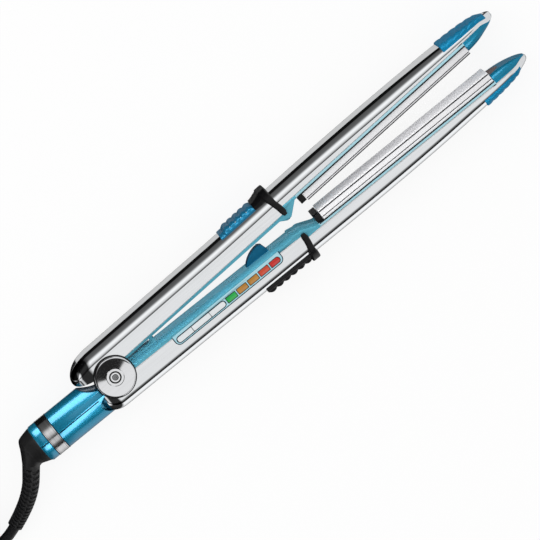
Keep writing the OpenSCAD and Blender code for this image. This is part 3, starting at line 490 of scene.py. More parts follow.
def apply_modifiers(ob):
    """Bakes an object's modifiers into its own mesh."""
    bpy.context.view_layer.update()
    dg = bpy.context.evaluated_depsgraph_get()
    me = bpy.data.meshes.new_from_object(ob.evaluated_get(dg))
    old = ob.data
    ob.modifiers.clear()
    ob.data = me
    bpy.data.meshes.remove(old)


def cut(ob, solid):
    """Cuts a closed solid out of an object."""
    me = outward_mesh("cutter", *solid)
    tool = bpy.data.objects.new("cutter", me)
    scene.collection.objects.link(tool)
    m = ob.modifiers.new("cut", "BOOLEAN")
    m.operation, m.object, m.solver = "DIFFERENCE", tool, "EXACT"
    apply_modifiers(ob)
    bpy.data.objects.remove(tool)
    bpy.data.meshes.remove(me)


def dress(name, mat, bevel=0.0, segments=0):
    """Gives a CAD node its material, smooth shading and rounded edges."""
    ob = NODES[name]
    ob.data.materials.clear()
    ob.data.materials.append(mat)
    if bevel:
        ob.modifiers.new("weld", "WELD").merge_threshold = 1e-6
        b = ob.modifiers.new("edges", "BEVEL")
        b.width, b.segments, b.limit_method = bevel * MM, segments, "ANGLE"
        b.angle_limit = math.radians(40)
        b.harden_normals = False
        b.use_clamp_overlap = True
    smooth(ob.data, 32)


# Cord, laid as in the part's source

RELIEF_END = (-96.4, -33.4, 8.0)
HANK_C, HANK_RUN, HANK_R, HANK_INNER_R, HANK_PITCH = (-190.5, -12.3), 100.0, 26.4, 19.8, 6.6
HANK_LAYERS = 4
# length along a run over which a strand changes its place, and how far each one waits for the one before
SHIFT_L, SHIFT_LAG = 33.0, 11.0
TIE_T = 0.8
PLUG_AT, PLUG_TURN = (-309.0, -23.6, 7.2), math.radians(158.2)
# points of the cord on its way to the hank and from there to the plug
LEAD_IN = [RELIEF_END, (-101, -35.5, 6.5), (-106, -37.2, 5.2), (-112, -38.2, 4.3), (-121.9, -38.55, 4.05),
           (-131, -38.7, 4.1)]
LEAD_OUT = [(-247, -38.6, 23.9), (-256, -37.2, 23.9), (-265.1, -35.4, 23.6), (-272, -33.9, 22.2),
            (-280, -32.2, 18.2), (-288, -30.4, 12.8), (-296, -28.2, 8.8), (-304, -25.5, 7.2), PLUG_AT]


def catmull(pts, per):
    """Smooth curve through points, with per steps between each two."""
    out = []
    for i in range(len(pts) - 1):
        a, b, c, d = pts[max(0, i - 1)], pts[i], pts[i + 1], pts[min(len(pts) - 1, i + 2)]
        for k in range(per):
            t = k / per
            out.append(tuple(0.5 * (2 * q + (r - p) * t + (2 * p - 5 * q + 4 * r - s) * t * t
                             + (3 * q - p - 3 * r + s) * t ** 3) for p, q, r, s in zip(a, b, c, d)))
    out.append(tuple(pts[-1]))
    return out


def hank_points():
    """The strand's turns: out along the near side, back along the far side, layer on layer."""
    z1 = TIE_T + CORD_D / 2 + 0.05
    states = [(HANK_R if k % 4 in (0, 3) else HANK_INNER_R, z1 + HANK_PITCH * (k // 2))
              for k in range(2 * HANK_LAYERS)]
    last = len(states) - 1
    (cx, cy), h = HANK_C, HANK_RUN / 2
    fold = [math.radians(a) for a in range(10, 180, 10)]
    pts = []
    for k, (r, z) in enumerate(states):
        pts += [(cx + h - HANK_RUN * t / 6, cy - r, z) for t in range(7)]
        if k == last:
            break
        pts += [(cx - h - r * math.sin(a), cy - r * math.cos(a), z) for a in fold]
        r2, z2 = states[k + 1]
        for t in range(25):
            x = HANK_RUN * t / 24
            e = ease((x - (last - 1 - k) * SHIFT_LAG) / SHIFT_L)
            pts.append((cx - h + x, cy + r + (r2 - r) * e, z + (z2 - z) * e))
        pts += [(cx + h + r2 * math.sin(a), cy + r2 * math.cos(a), z2) for a in fold]
    return pts


def make_cord():
    pts = catmull(LEAD_IN, 4) + hank_points() + catmull(LEAD_OUT, 4)
    cu = bpy.data.curves.new("mains_cord", "CURVE")
    cu.dimensions = "3D"
    sp = cu.splines.new("POLY")
    sp.points.add(len(pts) - 1)
    for p, q in zip(sp.points, pts):
        p.co = (*(v * MM for v in q), 1)
    sp.use_smooth = True
    cu.bevel_depth = CORD_D / 2 * MM
    cu.bevel_resolution = 4
    cu.use_fill_caps = True
    cu.materials.append(CORD)
    ob = bpy.data.objects.new("mains_cord", cu)
    scene.collection.objects.link(ob)
    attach(ob, "lead")
    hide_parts("cord_run", "cord_hank", "cord_lead_out")
    length = sum((Vector(a) - Vector(b)).length for a, b in zip(pts, pts[1:])) * MM
    return ob, length


cord, cord_length = make_cord()

# Neck of the plug: its length, radius at the cord, growth, and the pitch and depth of its ribs
NECK_L, NECK_R, NECK_GROWTH, NECK_PITCH, NECK_RIB = 12, 4.25, 1.2, 2.4, 0.5
# Body of the plug: distance along it, half width and half height
PLUG_BODY = [(12.2, 5.6, 5.5), (12.8, 8.5, 6.4), (13.8, 11.2, 7.0), (15.5, 12.5, 7.2), (18, 12.6, 7.1),
             (21, 12.1, 6.7), (24, 11.8, 6.5), (27, 12.1, 6.7), (30, 12.6, 7.1), (32.5, 12.7, 7.2),
             (33.6, 12.5, 7.0), (34, 12.0, 6.5)]


def make_plug():
    """Moulded plug: a ribbed neck and a flattened body with finger hollows."""
    turn = Matrix.Rotation(PLUG_TURN, 4, "Z")

    def section(x, hy, hz, r):
        out = []
        for a in ring_angles(40):
            c, s = math.cos(a), math.sin(a)
            y = math.copysign(max(hy - r, 0) + r * abs(c) ** 0.9, c) if abs(c) > 1e-6 else 0
            z = r * s if hz <= r else math.copysign((hz - r) * min(1, abs(s) * 3) + r * abs(s), s)
            out.append(turn @ (Vector((x, y, z)) * MM) + Vector(PLUG_AT) * MM)
        return out

    rings = []
    for i in range(37):
        x = NECK_L * i / 36
        rib = NECK_RIB * max(0.0, math.sin(2 * math.pi * x / NECK_PITCH)) if 1 < x < 10.5 else 0
        r = NECK_R + NECK_GROWTH * x / NECK_L - rib
        rings.append(section(x, r, r, r))
    rings += [section(x, hy, hz, min(hy, hz, 6.6)) for x, hy, hz in PLUG_BODY]
    return piece("mains_plug_body", loft(rings), RUBBER, "lead", "plug_body", 50)


def make_tie():
    """Soft strap wound once round the middle of the hank."""
    half_w, thick, r, lift = 7.0, 1.08, 3.0, 0.05
    y0, z0 = HANK_R + CORD_D / 2 + 0.1 - r, r + lift
    z1 = TIE_T + HANK_LAYERS * HANK_PITCH + 0.1 - r
    inset, bulge = half_w - 0.3, 0.6 * thick
    # across the strap: place along the hank, and distance outwards
    across = ((-half_w, 0), (-inset, bulge), (inset, bulge), (half_w, 0), (inset, -0.045), (-inset, -0.045))
    rings = []
    for y, z, start in ((y0, z0, -90), (y0, z1, 0), (-y0, z1, 90), (-y0, z0, 180)):
        for a in arc_angles(start, start + 90, 6):
            rings.append([Vector((HANK_C[0] + x, HANK_C[1] + y + (r + out) * math.cos(a),
                                  max(0.03, z + (r + out) * math.sin(a)))) * MM for x, out in across])
    return piece("cord_tie", loft(rings, True), RUBBER, "lead", "hank_tie", 30)


plug = make_plug()
tie = make_tie()
dress("plug_blades", BRASS)

# Shells

# Angles at which sections lie towards the rear end and the tip, closer together near the very end
REAR_ANGLES = (88.5, 86, 83, 79, 75, 70, 65, 59, 53, 46, 39, 32, 24, 16, 8)
TIP_ANGLES = (0, 5, 10, 15, 20, 25, 30, 35, 40, 44, 48, 52, 55, 58, 61, 64, 67, 70, 72.5, 75, 77, 79, 81,
              82.5, 84, 85.3, 86.4, 87.4, 88.2, 88.9)
# Angles round the corner of a section, closer together where the flat faces begin
CORNER_ANGLES = (0, 1, 2.2, 3.6, 5.5, 8, 11, 15, 20, 26, 32, 38, 44, 50, 56, 62, 68, 73.5, 78, 81.5, 84.5,
                 87, 88.8, 90)
# Round opening at the hinge
HINGE_HOLE_R = 9.8
# Rolled lip along a shell's open edge
LIP_R, LIP_IN, LIP_UP = 0.5, 0.45, 0.1
PANEL_X0, PANEL_X1, PANEL_H, PANEL_LOW, PANEL_R = 38.7, 116.1, 9.8, 3.4, 3.0


def x_stops(arm):
    rear, tip_from = arm["rear"], max(arm["taper"], COLLAR_X + 9)
    out = [-REAR_START - (rear - REAR_START) * math.sin(math.radians(a)) for a in REAR_ANGLES]
    out += [-REAR_START, 0.0, *range(8, int(COLLAR_X) - 2, 10)]
    out += [COLLAR_X + d for d in (-0.6, 0, 0.4, 0.8, 1.2, 6)]
    out += [tip_from + (ARM_L - tip_from) * math.sin(math.radians(a)) for a in TIP_ANGLES]
    return sorted(set(round(v, 4) for v in out))


def section_points(x, arm):
    """Outline across an arm at x, from the open edge over the back to the other edge."""
    lo, top = edge_at(x, arm), 6
    hi, w, r = corner_at(x, arm)
    half = [(lo + (hi - r - lo) * f, w) for f in (0, 0.25, 0.5, 0.75, 0.95)]
    half += [arm_offset(x, arm, a, 0) for a in CORNER_ANGLES]
    half += [(hi, (w - r) * (1 - i / top)) for i in range(1, top + 1)]
    return [(x, y, z) for y, z in mirrored(half)]


def make_shell(arm):
    """One wall thick, with a closed rear end and a round opening at the hinge."""
    stops = x_stops(arm)
    rings = [section_points(x, arm) for x in stops]
    n, cols = len(rings[0]), 5
    verts = [place(p, arm) for r in rings for p in r]
    faces = grid_faces(len(rings), n)
    # floor of the closed rear end, between the two open edges
    closed = [i for i, x in enumerate(stops) if x <= -REAR_START]
    base = len(verts)
    for i in closed:
        x, y, z = rings[i][0]
        verts += [place((x, y, z * (1 - 2 * (j + 1) / (cols + 1))), arm) for j in range(cols)]

    def floor(i):
        return [i * n, *range(base + i * cols, base + (i + 1) * cols), i * n + n - 1]

    for a, b in zip(map(floor, closed), map(floor, closed[1:])):
        faces += [(a[j], a[j + 1], b[j + 1], b[j]) for j in range(cols + 1)]
    faces.append(tuple(range(n)) + tuple(range(base + cols - 1, base - 1, -1)))
    faces.append(tuple(range(len(rings) * n - 1, len(rings) * n - n - 1, -1)))
    name = arm["name"] + "_arm"
    ob = mesh_object(name + "_shell", (verts, faces), STEEL, name, 40)
    s = ob.modifiers.new("wall", "SOLIDIFY")
    s.thickness, s.offset, s.use_even_offset = SHELL_T * 0.8 * MM, -1, False
    s.thickness_clamp = 0.6
    apply_modifiers(ob)
    cut(ob, prism(arc_points(0, 0, HINGE_HOLE_R, 0, 360, 64)[:-1], -1, TOTAL_Z + 2))
    return ob


def lip_runs(arm, side):
    """Lines along one open edge, broken at the collar and at the key panel."""
    runs = [[], []]
    for x in x_stops(arm):
        w = side_at(x, arm) - LIP_IN
        if x > 2 and w > 1.2 and not COLLAR_X - 1 < x < COLLAR_X + 1.5:
            runs[x > COLLAR_X].append((x, edge_at(x, arm) + LIP_UP, side * w))
    if arm is LOWER and side == 1:
        ends = [(x, rail(x, arm) + LIP_UP, HALF_W - LIP_IN) for x in (PANEL_X0 - 0.4, PANEL_X1 + 0.5)]
        near = [p for p in runs[0] if p[0] < PANEL_X0 - 1] + ends[:1]
        far = ends[1:] + [p for p in runs[0] if p[0] > PANEL_X1 + 1]
        runs = [near, far, runs[1]]
    return runs


def panel_path():
    """Outline of the key panel in the model's x-y plane, open towards the other arm."""
    y = PANEL_H - PANEL_R
    pts = [(PANEL_X0, PANEL_LOW)]
    pts += arc_points(PANEL_X0 + PANEL_R, y, PANEL_R, 180, 90, 8)
    pts += arc_points(PANEL_X1 - PANEL_R, y, PANEL_R, 90, 0, 8)
    pts.append((PANEL_X1, PANEL_LOW))
    return [(x, -y) for x, y in pts]


def add_lips(ob, arm):
    """Adds the rolled lips to a shell's mesh."""
    old = ob.data
    parts = [([v.co.copy() for v in old.vertices], [tuple(p.vertices) for p in old.polygons])]
    for side in (1, -1):
        parts += [tube([place(p, arm) for p in run], LIP_R * MM, 10) for run in lip_runs(arm, side)]
    ob.data = outward_mesh(old.name, *merge(parts))
    ob.data.materials.append(STEEL)
    bpy.data.meshes.remove(old)
    smooth(ob.data, 40)


for arm in (UPPER, LOWER):
    shell = make_shell(arm)
    if arm is LOWER:
        cut(shell, prism(panel_path(), MID_Z + HALF_W - 2, MID_Z + HALF_W + 1))
    add_lips(shell, arm)
    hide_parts(arm["name"] + "_shell")

# Nose caps, grips and rests

UPPER_NOSE_H, LOWER_NOSE_H, NOSE_END_H = 1.5, 2.7, 6.9


def nose_at(x, h):
    """Height of a nose cap's face, which starts at h and falls back towards the tip."""
    t = max(0.0, (x - NOSE_X) / (ARM_L - NOSE_X))
    return h + (NOSE_END_H - h) * t ** 2.2


def make_nose(arm, h):
    rings = []
    for a in (*range(0, 84, 4), 83, 85.5, 87.5):
        x = NOSE_X + (ARM_L - 0.6 - NOSE_X) * math.sin(math.radians(a))
        lo = edge_at(x, arm)
        hi, w = min(lo - 0.3, nose_at(x, h)), side_at(x, arm) - 0.1
        r = min(4.5, 0.9 * w, 0.85 * (lo - hi))
        half = [(lo, w), (lo - (lo - hi - r) * 0.5, w)]
        half += [(hi + r * (1 - math.sin(t)), w - r * (1 - math.cos(t))) for t in arc_angles(0, 90, 10)]
        half += [(hi, (w - r) * k) for k in (0.66, 0.33, 0.0)]
        rings.append([place((x, y, z), arm) for y, z in mirrored(half)])
    name = arm["name"] + "_nose"
    piece(name, loft(rings), TEAL_NOSE, arm["name"] + "_arm", name + "_cap", 38)


make_nose(UPPER, UPPER_NOSE_H)
make_nose(LOWER, LOWER_NOSE_H)


def make_bumper():
    """Soft D-shaped insert that stands a hair proud of the lower nose cap."""
    r, x0 = 7.9, NOSE_X + 0.1
    rings = []
    for scale, lift in ((0.98, -0.35), (1.0, -0.1), (1.0, 0.02), (0.97, 0.10), (0.9, 0.13), (0.5, 0.14)):
        ring = []
        for a in arc_angles(-80, 80, 28):
            x = max(x0 + 0.1 * (1 - scale), x0 + (r * math.cos(a) - 1.0) * scale)
            z = r * math.sin(a) * scale
            w = side_at(x, LOWER) - 0.1
            hi = nose_at(x, LOWER_NOSE_H)
            rr = min(4.5, 0.9 * w, 0.85 * (PLATE_EDGE_H - hi))
            over = max(0.0, abs(z) - (w - rr))
            y = hi + rr - math.sqrt(max(0.0, rr * rr - min(over, rr) ** 2))
            ring.append(place((x, y - lift, z), LOWER))
        rings.append(ring)
    piece("nose_insert", loft(rings), TAUPE, "lower_arm", "nose_bumper", 50)


make_bumper()


def saddle(arm, xs, angles, height):
    """Solid laid over the back of an arm; height(x, angle) is how far it stands out."""
    rings = []
    for x in xs:
        outer = [arm_offset(x, arm, a, height(x, a)) for a in angles]
        inner = [arm_offset(x, arm, a, -0.25) for a in angles]
        ring = [(y, z) for y, z in outer] + [(y, -z) for y, z in outer[::-1]]
        ring += [(y, -z) for y, z in inner] + [(y, z) for y, z in inner[::-1]]
        rings.append([place((x, y, z), arm) for y, z in ring])
    return loft(rings)


TIP_PAD_ANGLES = (21, 23, 27, 33, 40, 48, 56, 65, 74, 82, 90)
TIP_PAD_RIBS, TIP_PAD_H = 6, 0.95


def make_tip_pad(arm, from_tip, length):
    """Grip over the tip, whose ribs lean forward as they come round the side."""
    x0 = ARM_L - from_tip - length
    steps = 20 * TIP_PAD_RIBS

    def height(x, a):
        s = (x - x0) / length
        rib = abs(math.sin(math.pi * TIP_PAD_RIBS * (s + 0.055 * (90 - a) / 45))) ** 0.7
        ends = min(1.0, s / 0.015 + 0.15, (1 - s) / 0.13)
        skirt = min(1.0, (a - 21) / 9.0 + 0.02)
        return max(0.03, TIP_PAD_H * (0.5 + 0.5 * rib * clamp((a - 27) / 22)) * max(0.05, ends) * skirt)

    solid = saddle(arm, [x0 + length * i / steps for i in range(steps + 1)], TIP_PAD_ANGLES, height)
    name = arm["name"]
    piece(name + "_tip_pad", solid, TEAL_DEEP, name + "_arm", name + "_tip_grip")


make_tip_pad(UPPER, 4.0, 31.0)
make_tip_pad(LOWER, 7.0, 28.0)

THUMB_END = COLLAR_X - 3.85
THUMB_SPLIT = THUMB_END - 5.5
UPPER_REST_L, LOWER_REST_L, LOWER_REST_IN, UPPER_REST_RIBS = 22.0, 30.2, 2.0, 5


def rest_angles(low):
    return (low, low + 1.2, low + 4, low + 9, low + 13, low + 17, 66, 72, 78, 84, 90)


def rest(arm, x0, x1, ribs, h, dip, low, lead=0.0):
    """Ribbed rest saddled over the back of an arm, with a smooth border below its ribs."""
    span = x1 - x0
    steps = 16 * ribs
    xs = [x0 - lead + lead * k / 6 for k in range(6)] if lead else []
    xs += [x0 + span * k / steps for k in range(steps + 1)]

    def height(x, a):
        s = (x - x0) / span
        rib = abs(math.sin(math.pi * clamp((x - x0 - 0.7) / (span - 1.4)) * ribs)) ** 0.75
        if s < 0:
            g = h * (0.30 + 0.08 * (1 + s))
        else:
            g = h * 0.55 + (h * 0.45 - dip + dip * rib) * ease((a - low - 8) / 8)
            g *= min(1.0, 0.55 + s * span / 0.8) * min(1.0, 0.75 + (1 - s) * span)
        if a <= low + 1.0:
            return 0.05
        return g * 0.72 if a <= low + 3.0 else g

    return saddle(arm, xs, rest_angles(low), height)


# How far a collar stands out on an arm's side and top, its half width there, and its rounded edge
COLLAR_PROUD, COLLAR_PROUD_TOP = 2.45, 1.5
COLLAR_WIDE, COLLAR_WIDE_TOP = 1.9, 0.8
COLLAR_EDGE_R, COLLAR_CORNER_R = 0.9, 6.5


def collar_ring(arm):
    """Collar over one arm, open towards the other, thin along its sides and high on the back."""
    r, inner = COLLAR_CORNER_R, arm["edge"][1] - 1.1
    half = [(inner + (ARM_H - r - inner) * k / 6, HALF_W, 0.0, 1.0) for k in range(6)]
    for a in arc_angles(0, 90, 10):
        s, c = math.sin(a), math.cos(a)
        half.append((ARM_H - r + r * s, HALF_W - r + r * c, s, c))
    half += [(ARM_H, (HALF_W - r) * (1 - k / 4), 1.0, 0.0) for k in range(1, 5)]
    full = half + [(y, -z, ny, -nz) for y, z, ny, nz in half[-2::-1]]
    rings = []
    for i, (y, z, ny, nz) in enumerate(full):
        end = (0.55, 0.85, 1.0)[min(i, len(full) - 1 - i, 2)]
        proud = (COLLAR_PROUD + COLLAR_PROUD_TOP * ny * ny) * (0.75 + 0.25 * end)
        wide = (COLLAR_WIDE + COLLAR_WIDE_TOP * ny * ny) * end
        q = COLLAR_EDGE_R * end
        sway = 0.35 * math.sin(math.pi * min(1.0, (y - inner) / 9.0))
        x = COLLAR_X + (ARM_H - y) * math.tan(math.radians(6.5)) + sway
        prof = [(-wide, -0.4)] + arc_points(q - wide, proud - q, q, 180, 90, 6)
        prof += [(-u, v) for u, v in prof[::-1]]
        rings.append([place((x + u - 0.115 * v * ny, y + v * ny, z + v * nz), arm) for u, v in prof])
    return loft(rings)


solid = rest(UPPER, THUMB_SPLIT - UPPER_REST_L, THUMB_SPLIT, UPPER_REST_RIBS, 1.9, 0.8, 46.0, lead=3.2)
piece("upper_thumb_rest", solid, TEAL_DARK, "upper_arm", "thumb_grip", 42)


def make_collars():
    # heights of the smooth black part between the upper thumb rest and its collar
    rise = [1.9, 2.05, 2.4, 2.9, 3.3, 3.5, 3.6]
    xs = [THUMB_SPLIT + (COLLAR_X - THUMB_SPLIT) * k / 6 for k in range(7)]

    def height(x, a):
        return rise[xs.index(x)] * (0.1 if a < 47 else 0.7 if a < 49 else 1.0)

    lower_x = THUMB_END - LOWER_REST_L
    backs = (saddle(UPPER, xs, rest_angles(46.0), height),
             rest(LOWER, lower_x, THUMB_END + LOWER_REST_IN, 6, 2.9, 1.15, 52.0))
    for arm, back in zip((UPPER, LOWER), backs):
        name = arm["name"]
        piece(name + "_arm_collar", merge([collar_ring(arm), back]), BLACK, name + "_arm",
              name + "_collar", 45)


make_collars()


def make_highlight_dots():
    """Small pale domes between the ribs of the upper thumb rest, coloured as painted highlights."""
    parts = []
    for side in (1, -1):
        for k in range(1, UPPER_REST_RIBS):
            x = THUMB_SPLIT - UPPER_REST_L + 0.7 + (UPPER_REST_L - 1.4) * k / UPPER_REST_RIBS
            c, out = (place((x, y, side * z), UPPER) for y, z in
                      (arm_offset(x, UPPER, 66, g) for g in (1.25, 2.25)))
            q = Z.rotation_difference((out - c).normalized()).to_matrix()
            v, f = lathe([(0, 0.22), (0.22, 0.2), (0.4, 0.05), (0.42, -0.3), (0, -0.3)], 14)
            parts.append(([q @ p + c for p in v], f))
    piece("thumb_rest_dots", merge(parts), HIGHLIGHT_DOT, "upper_arm", angle=50)


make_highlight_dots()

# Hinge caps and screws


def at_end(points, end):
    """Points at the bottom end of the hinge, or their mirror image at its top end."""
    if end == "bottom":
        return points
    return [Vector((p.x, p.y, TOTAL_Z * MM - p.z)) for p in points]


# Radius where a cap's face begins to fall, by so many degrees, and where its rolled rim begins
CAP_FLAT_R, CAP_SLOPE, CAP_RIM_X, CAP_RIM_R = 5.2, 1.5, 10.9, 0.9
# Recess of the screw and ring grooves in the middle of a cap, as (r, z)
CAP_MIDDLE = [(0.0, 0.62), (1.7, 0.62), (1.7, 0.12), (1.9, 0.0), (2.7, 0.0), (2.8, 0.1), (2.85, 0.5),
              (3.45, 0.5), (3.5, 0.1), (3.6, 0.0), (4.9, 0.0), (4.95, 0.1), (5.15, 0.1), (CAP_FLAT_R, 0.0)]
CAP_FOOT = [(11.86, 1.8), (11.86, 2.18), (8.0, 2.18), (8.0, 3.2), (0.0, 3.2)]
# Shadow lines of the grooves: radius, height, thickness and arcs; the outer one is broken in three
CAP_LINES = [(3.15, 0.3, 0.34, [(0, 360)]), (1.62, 0.3, 0.3, [(0, 360)]),
             (5.05, 0.12, 0.12, [(12, 98), (118, 205), (232, 338)])]


def make_cap(end):
    """Cap with a flat middle, ring grooves and a rolled rim."""
    span = CAP_RIM_X - CAP_FLAT_R
    fall = span * math.tan(math.radians(CAP_SLOPE))
    prof = CAP_MIDDLE + [(CAP_FLAT_R + span * t / 12, fall * t / 12) for t in range(1, 13)]
    prof += arc_points(CAP_RIM_X, fall + CAP_RIM_R, CAP_RIM_R, -90, 0, 7)[1:] + CAP_FOOT
    verts, faces = lathe(prof, 96)
    name = "cap_" + end
    piece(name, (at_end(verts, end), faces), CAP_STEEL, "lower_arm", "hinge_" + name, 25)
    # dark joint where the cap meets the arms
    ring = ring_points(Vector((0, 0, 2.1)) * MM, X, Y, 12 * MM, 96)
    parts = [tube(at_end(ring, end), 0.5 * MM, 10, True)]
    for r, z, thick, arcs in CAP_LINES:
        for start, stop in arcs:
            whole = stop - start == 360
            arc = [Vector((x, y, z)) * MM for x, y in arc_points(0, 0, r, start, stop, 48)]
            parts.append(tube(at_end(arc[:-1] if whole else arc, end), thick * MM, 8, whole))
    # dark ring in the joint, and painted shadow lines in the cap's grooves
    piece(name + "_seal", merge(parts), DARK_JOINT_AND_SHADE, "lower_arm")


SCREW_HEAD = [(0.0, 0.42), (0.55, 0.42), (0.62, 0.3), (0.72, 0.2), (1.45, 0.16), (1.6, 0.3), (1.62, 0.7),
              (0.0, 0.7)]


def make_screw(end):
    verts, faces = lathe(SCREW_HEAD, 40)
    piece("screw_head_" + end, (at_end(verts, end), faces), BARE, "lower_arm", angle=25)


for end in ("top", "bottom"):
    make_cap(end)
for end in ("top", "bottom"):
    make_screw(end)

# Barrel, boot and strain relief


def barrel_ring(x, r, n):
    """Points round the barrel's axis, in metres."""
    return ring_points(Vector((x, TAIL_Y, MID_Z)) * MM, Y, Z, r * MM, n)


# Left and right side of the boot in plan, and its half height, from the barrel to the strain relief
BOOT = [(-57.8, 6.1, -58.0, -16.6, 11.4), (-61.6, 5.3, -59.6, -16.0, 10.8), (-65.3, 4.3, -61.3, -15.4, 9.6),
        (-67.0, 2.6, -62.6, -14.9, 8.9), (-68.8, -1.0, -63.6, -14.6, 7.6), (-71.0, -4.8, -64.4, -14.7, 6.4),
        (-73.4, -8.6, -65.7, -15.0, 5.2)]
# Spool of the boot that runs in the barrel's end wall: from, to and radius of its steps
SPOOL = [(-59.8, -53.0, 6.0), (-55.2, -53.0, 8.0), (-59.0, -37.0, 4.0)]
# Ridge down the boot's outer side: how high it is, where it lies and how wide, in degrees
RIDGE_H, RIDGE_AT, RIDGE_WIDE = 0.07, 52, 9.0


def make_boot():
    """Angled boot that turns in the barrel's end, with a soft ridge down its outer side."""
    fine = catmull(BOOT, 5)
    rings = []
    for i, (ax, ay, bx, by, h) in enumerate(fine):
        f = i / (len(fine) - 1)
        mid, half = Vector((ax + bx, ay + by, 2 * MID_Z)) / 2, Vector((ax - bx, ay - by, 0)) / 2
        ring = []
        for a in ring_angles(64):
            turn = abs((math.degrees(a) + 180) % 360 - 180)
            fade = math.sin(math.pi * min(1, f * 1.05))
            q = 1 + RIDGE_H * math.exp(-((turn - RIDGE_AT) / RIDGE_WIDE) ** 2) * fade
            if i == 0:
                q *= 0.97
            ring.append((mid + q * (math.cos(a) * half + math.sin(a) * h * Z)) * MM)
        rings.append(ring)
    spool = [loft([barrel_ring(x, r, 40) for x in (x0, x1)]) for x0, x1, r in SPOOL]
    piece("boot", merge([loft(rings)] + spool), RUBBER, "lead", "swivel_boot", 45)


# Middle of the strain relief, and its radius at both ends
RELIEF = [(-69.4, -11.6, 16), (-72.8, -15.8, 15.8), (-76.2, -19.8, 15.2), (-79.6, -23, 14.2),
          (-83, -25.7, 13), (-86.4, -28, 11.7), (-89.8, -30, 10.4), (-93.1, -31.8, 9.1), RELIEF_END,
          (-99.4, -34.8, 7.1)]
RELIEF_R0, RELIEF_R1 = 5.1, 4.4
# Slots: number along a row, depth, and the share of the sleeve where they begin and end
SLOTS, SLOT_DEPTH, SLOTS_FROM, SLOTS_TO = 15, 1.3, 0.05, 0.965


def make_relief():
    """Tapered strain relief with four rows of slanted slots, each row set off from the next."""
    line = catmull(RELIEF, 24)
    last = len(line) - 1
    rings = []
    for i, p in enumerate(line):
        f = i / last
        d = (Vector(line[min(last, i + 1)]) - Vector(line[max(0, i - 1)])).normalized()
        s = d.cross(Z).normalized()
        t = s.cross(d)
        base = RELIEF_R0 + (RELIEF_R1 - RELIEF_R0) * f - 0.5 * ease((f - 0.985) / 0.015)
        ring = []
        for g in ring_angles(64):
            r = base
            if SLOTS_FROM < f < SLOTS_TO:
                # slots lean round the sleeve; each second row is set off by half a pitch
                ph = SLOTS * (f - SLOTS_FROM) / (SLOTS_TO - SLOTS_FROM) + 0.3 * math.cos(2 * g)
                row = 0.5 if math.sin(2 * g) > 0 else 0.0
                bridge = clamp((abs(math.sin(2 * g)) - 0.12) / 0.3)
                r -= SLOT_DEPTH * ease((math.sin(2 * math.pi * (ph + row)) + 0.25) / 0.6) * bridge
            ring.append((Vector(p) + r * (math.cos(g) * s + math.sin(g) * t)) * MM)
        rings.append(ring)
    piece("cord_relief", loft(rings), RUBBER, "lead", "strain_relief", 50)


BAND_X = (-52.35, -45.25)


def make_band():
    """Metal band round the barrel, with rounded edges and a shallow groove near each."""
    (x0, x1), r, ri = BAND_X, TAIL_R + 0.12, TAIL_R - 0.8
    # distance in from the band's edge, and depth
    side = [(0, 0.25), (0.25, 0), (0.7, 0), (0.8, 0.14), (0.95, 0.14), (1.05, 0)]
    prof = [(ri, x0)] + [(r - depth, x0 + d) for d, depth in side]
    prof += [(r - depth, x1 - d) for d, depth in side[::-1]] + [(ri, x1)]
    rings = [barrel_ring(x, q, 96) for q, x in prof]
    piece("barrel_band", loft(rings, True), BAND, "lower_arm", "tail_band", 30)


make_boot()
make_relief()
make_band()

# Outlines of the key panel, its keys and its lamps

ROW_X, ROW_H, KEY_W = 40.3, 7.0, 3.1
END_KEY_L, MID_KEY_L = 10.7, 12.9
ROW_L = 2 * END_KEY_L + MID_KEY_L
LAMPS, LAMP_X, LAMP_L, LAMP_PITCH = 5, ROW_X + ROW_L + 1.5, 6.8, 7.9
PANEL_Z = MID_Z + HALF_W + 0.1


def row_outline(x0, x1, half, r0, r1):
    """Rounded rectangle on the middle line of the keys and lamps, with corner radii at x0 and x1."""
    corners = ((x1 - r1, half - r1, r1, 90), (x1 - r1, r1 - half, r1, 0),
               (x0 + r0, r0 - half, r0, -90), (x0 + r0, half - r0, r0, -180))
    return [p for x, y, r, start in corners for p in arc_points(x, ROW_H + y, r, start, start - 90, 8)]


def outline_tube(outline, z, r):
    return tube([Vector((x, -y, z)) * MM for x, y in outline], r * MM, 8, True)


def make_panel_lines():
    h = KEY_W / 2 + 0.3
    row = outline_tube(row_outline(ROW_X - 0.3, ROW_X + ROW_L + 0.3, h, h - 0.01, h - 0.01), PANEL_Z, 0.24)
    seam = tube([Vector((x, y, PANEL_Z - 0.04)) * MM for x, y in panel_path()], 0.26 * MM)
    piece("panel_lines", merge([row, seam]), TEAL_LINE, "lower_arm")
    parts = []
    h = KEY_W / 2 + 0.15
    for k in range(LAMPS):
        x0 = LAMP_X + k * LAMP_PITCH
        outline = row_outline(x0, x0 + LAMP_L, h, 0.15, 0.15 if k < LAMPS - 1 else h - 0.01)
        parts.append(outline_tube(outline, PANEL_Z + 0.03, 0.2))
    # lines between the keys
    boxes = [NODES[name].bound_box for name in ("key_power", "key_minus", "key_plus")]
    keys = sorted((box[0][0], box[6][0]) for box in boxes)
    for (_, end), (start, _) in zip(keys, keys[1:]):
        x, z = (end + start) / 2, PANEL_Z * MM
        line = [Vector((x, -(ROW_H + side * KEY_W / 2) * MM, z)) for side in (-1, 1)]
        parts.append(tube(line, 0.18 * MM))
    piece("lamp_frames", merge(parts), DARK_JOINT_AND_SHADE, "lower_arm")


make_panel_lines()

# Painted shade along the plates' edges and grooves, joints beside them and joints of the barrel

PLATE_SIDE = 11.8
JOINT_SIDE = HALF_W - 0.4


def make_side_lines(name, arm, body, ends, lines):
    """Dark lines along both sides of an arm; each has its height, radius and distance from the middle."""
    parts = []
    for y, r, z in lines:
        for side in (1, -1):
            parts.append(tube([place((x, y, side * z), arm) for x in ends], r * MM, 10))
    piece(name, merge(parts), DARK_JOINT_AND_SHADE, body)
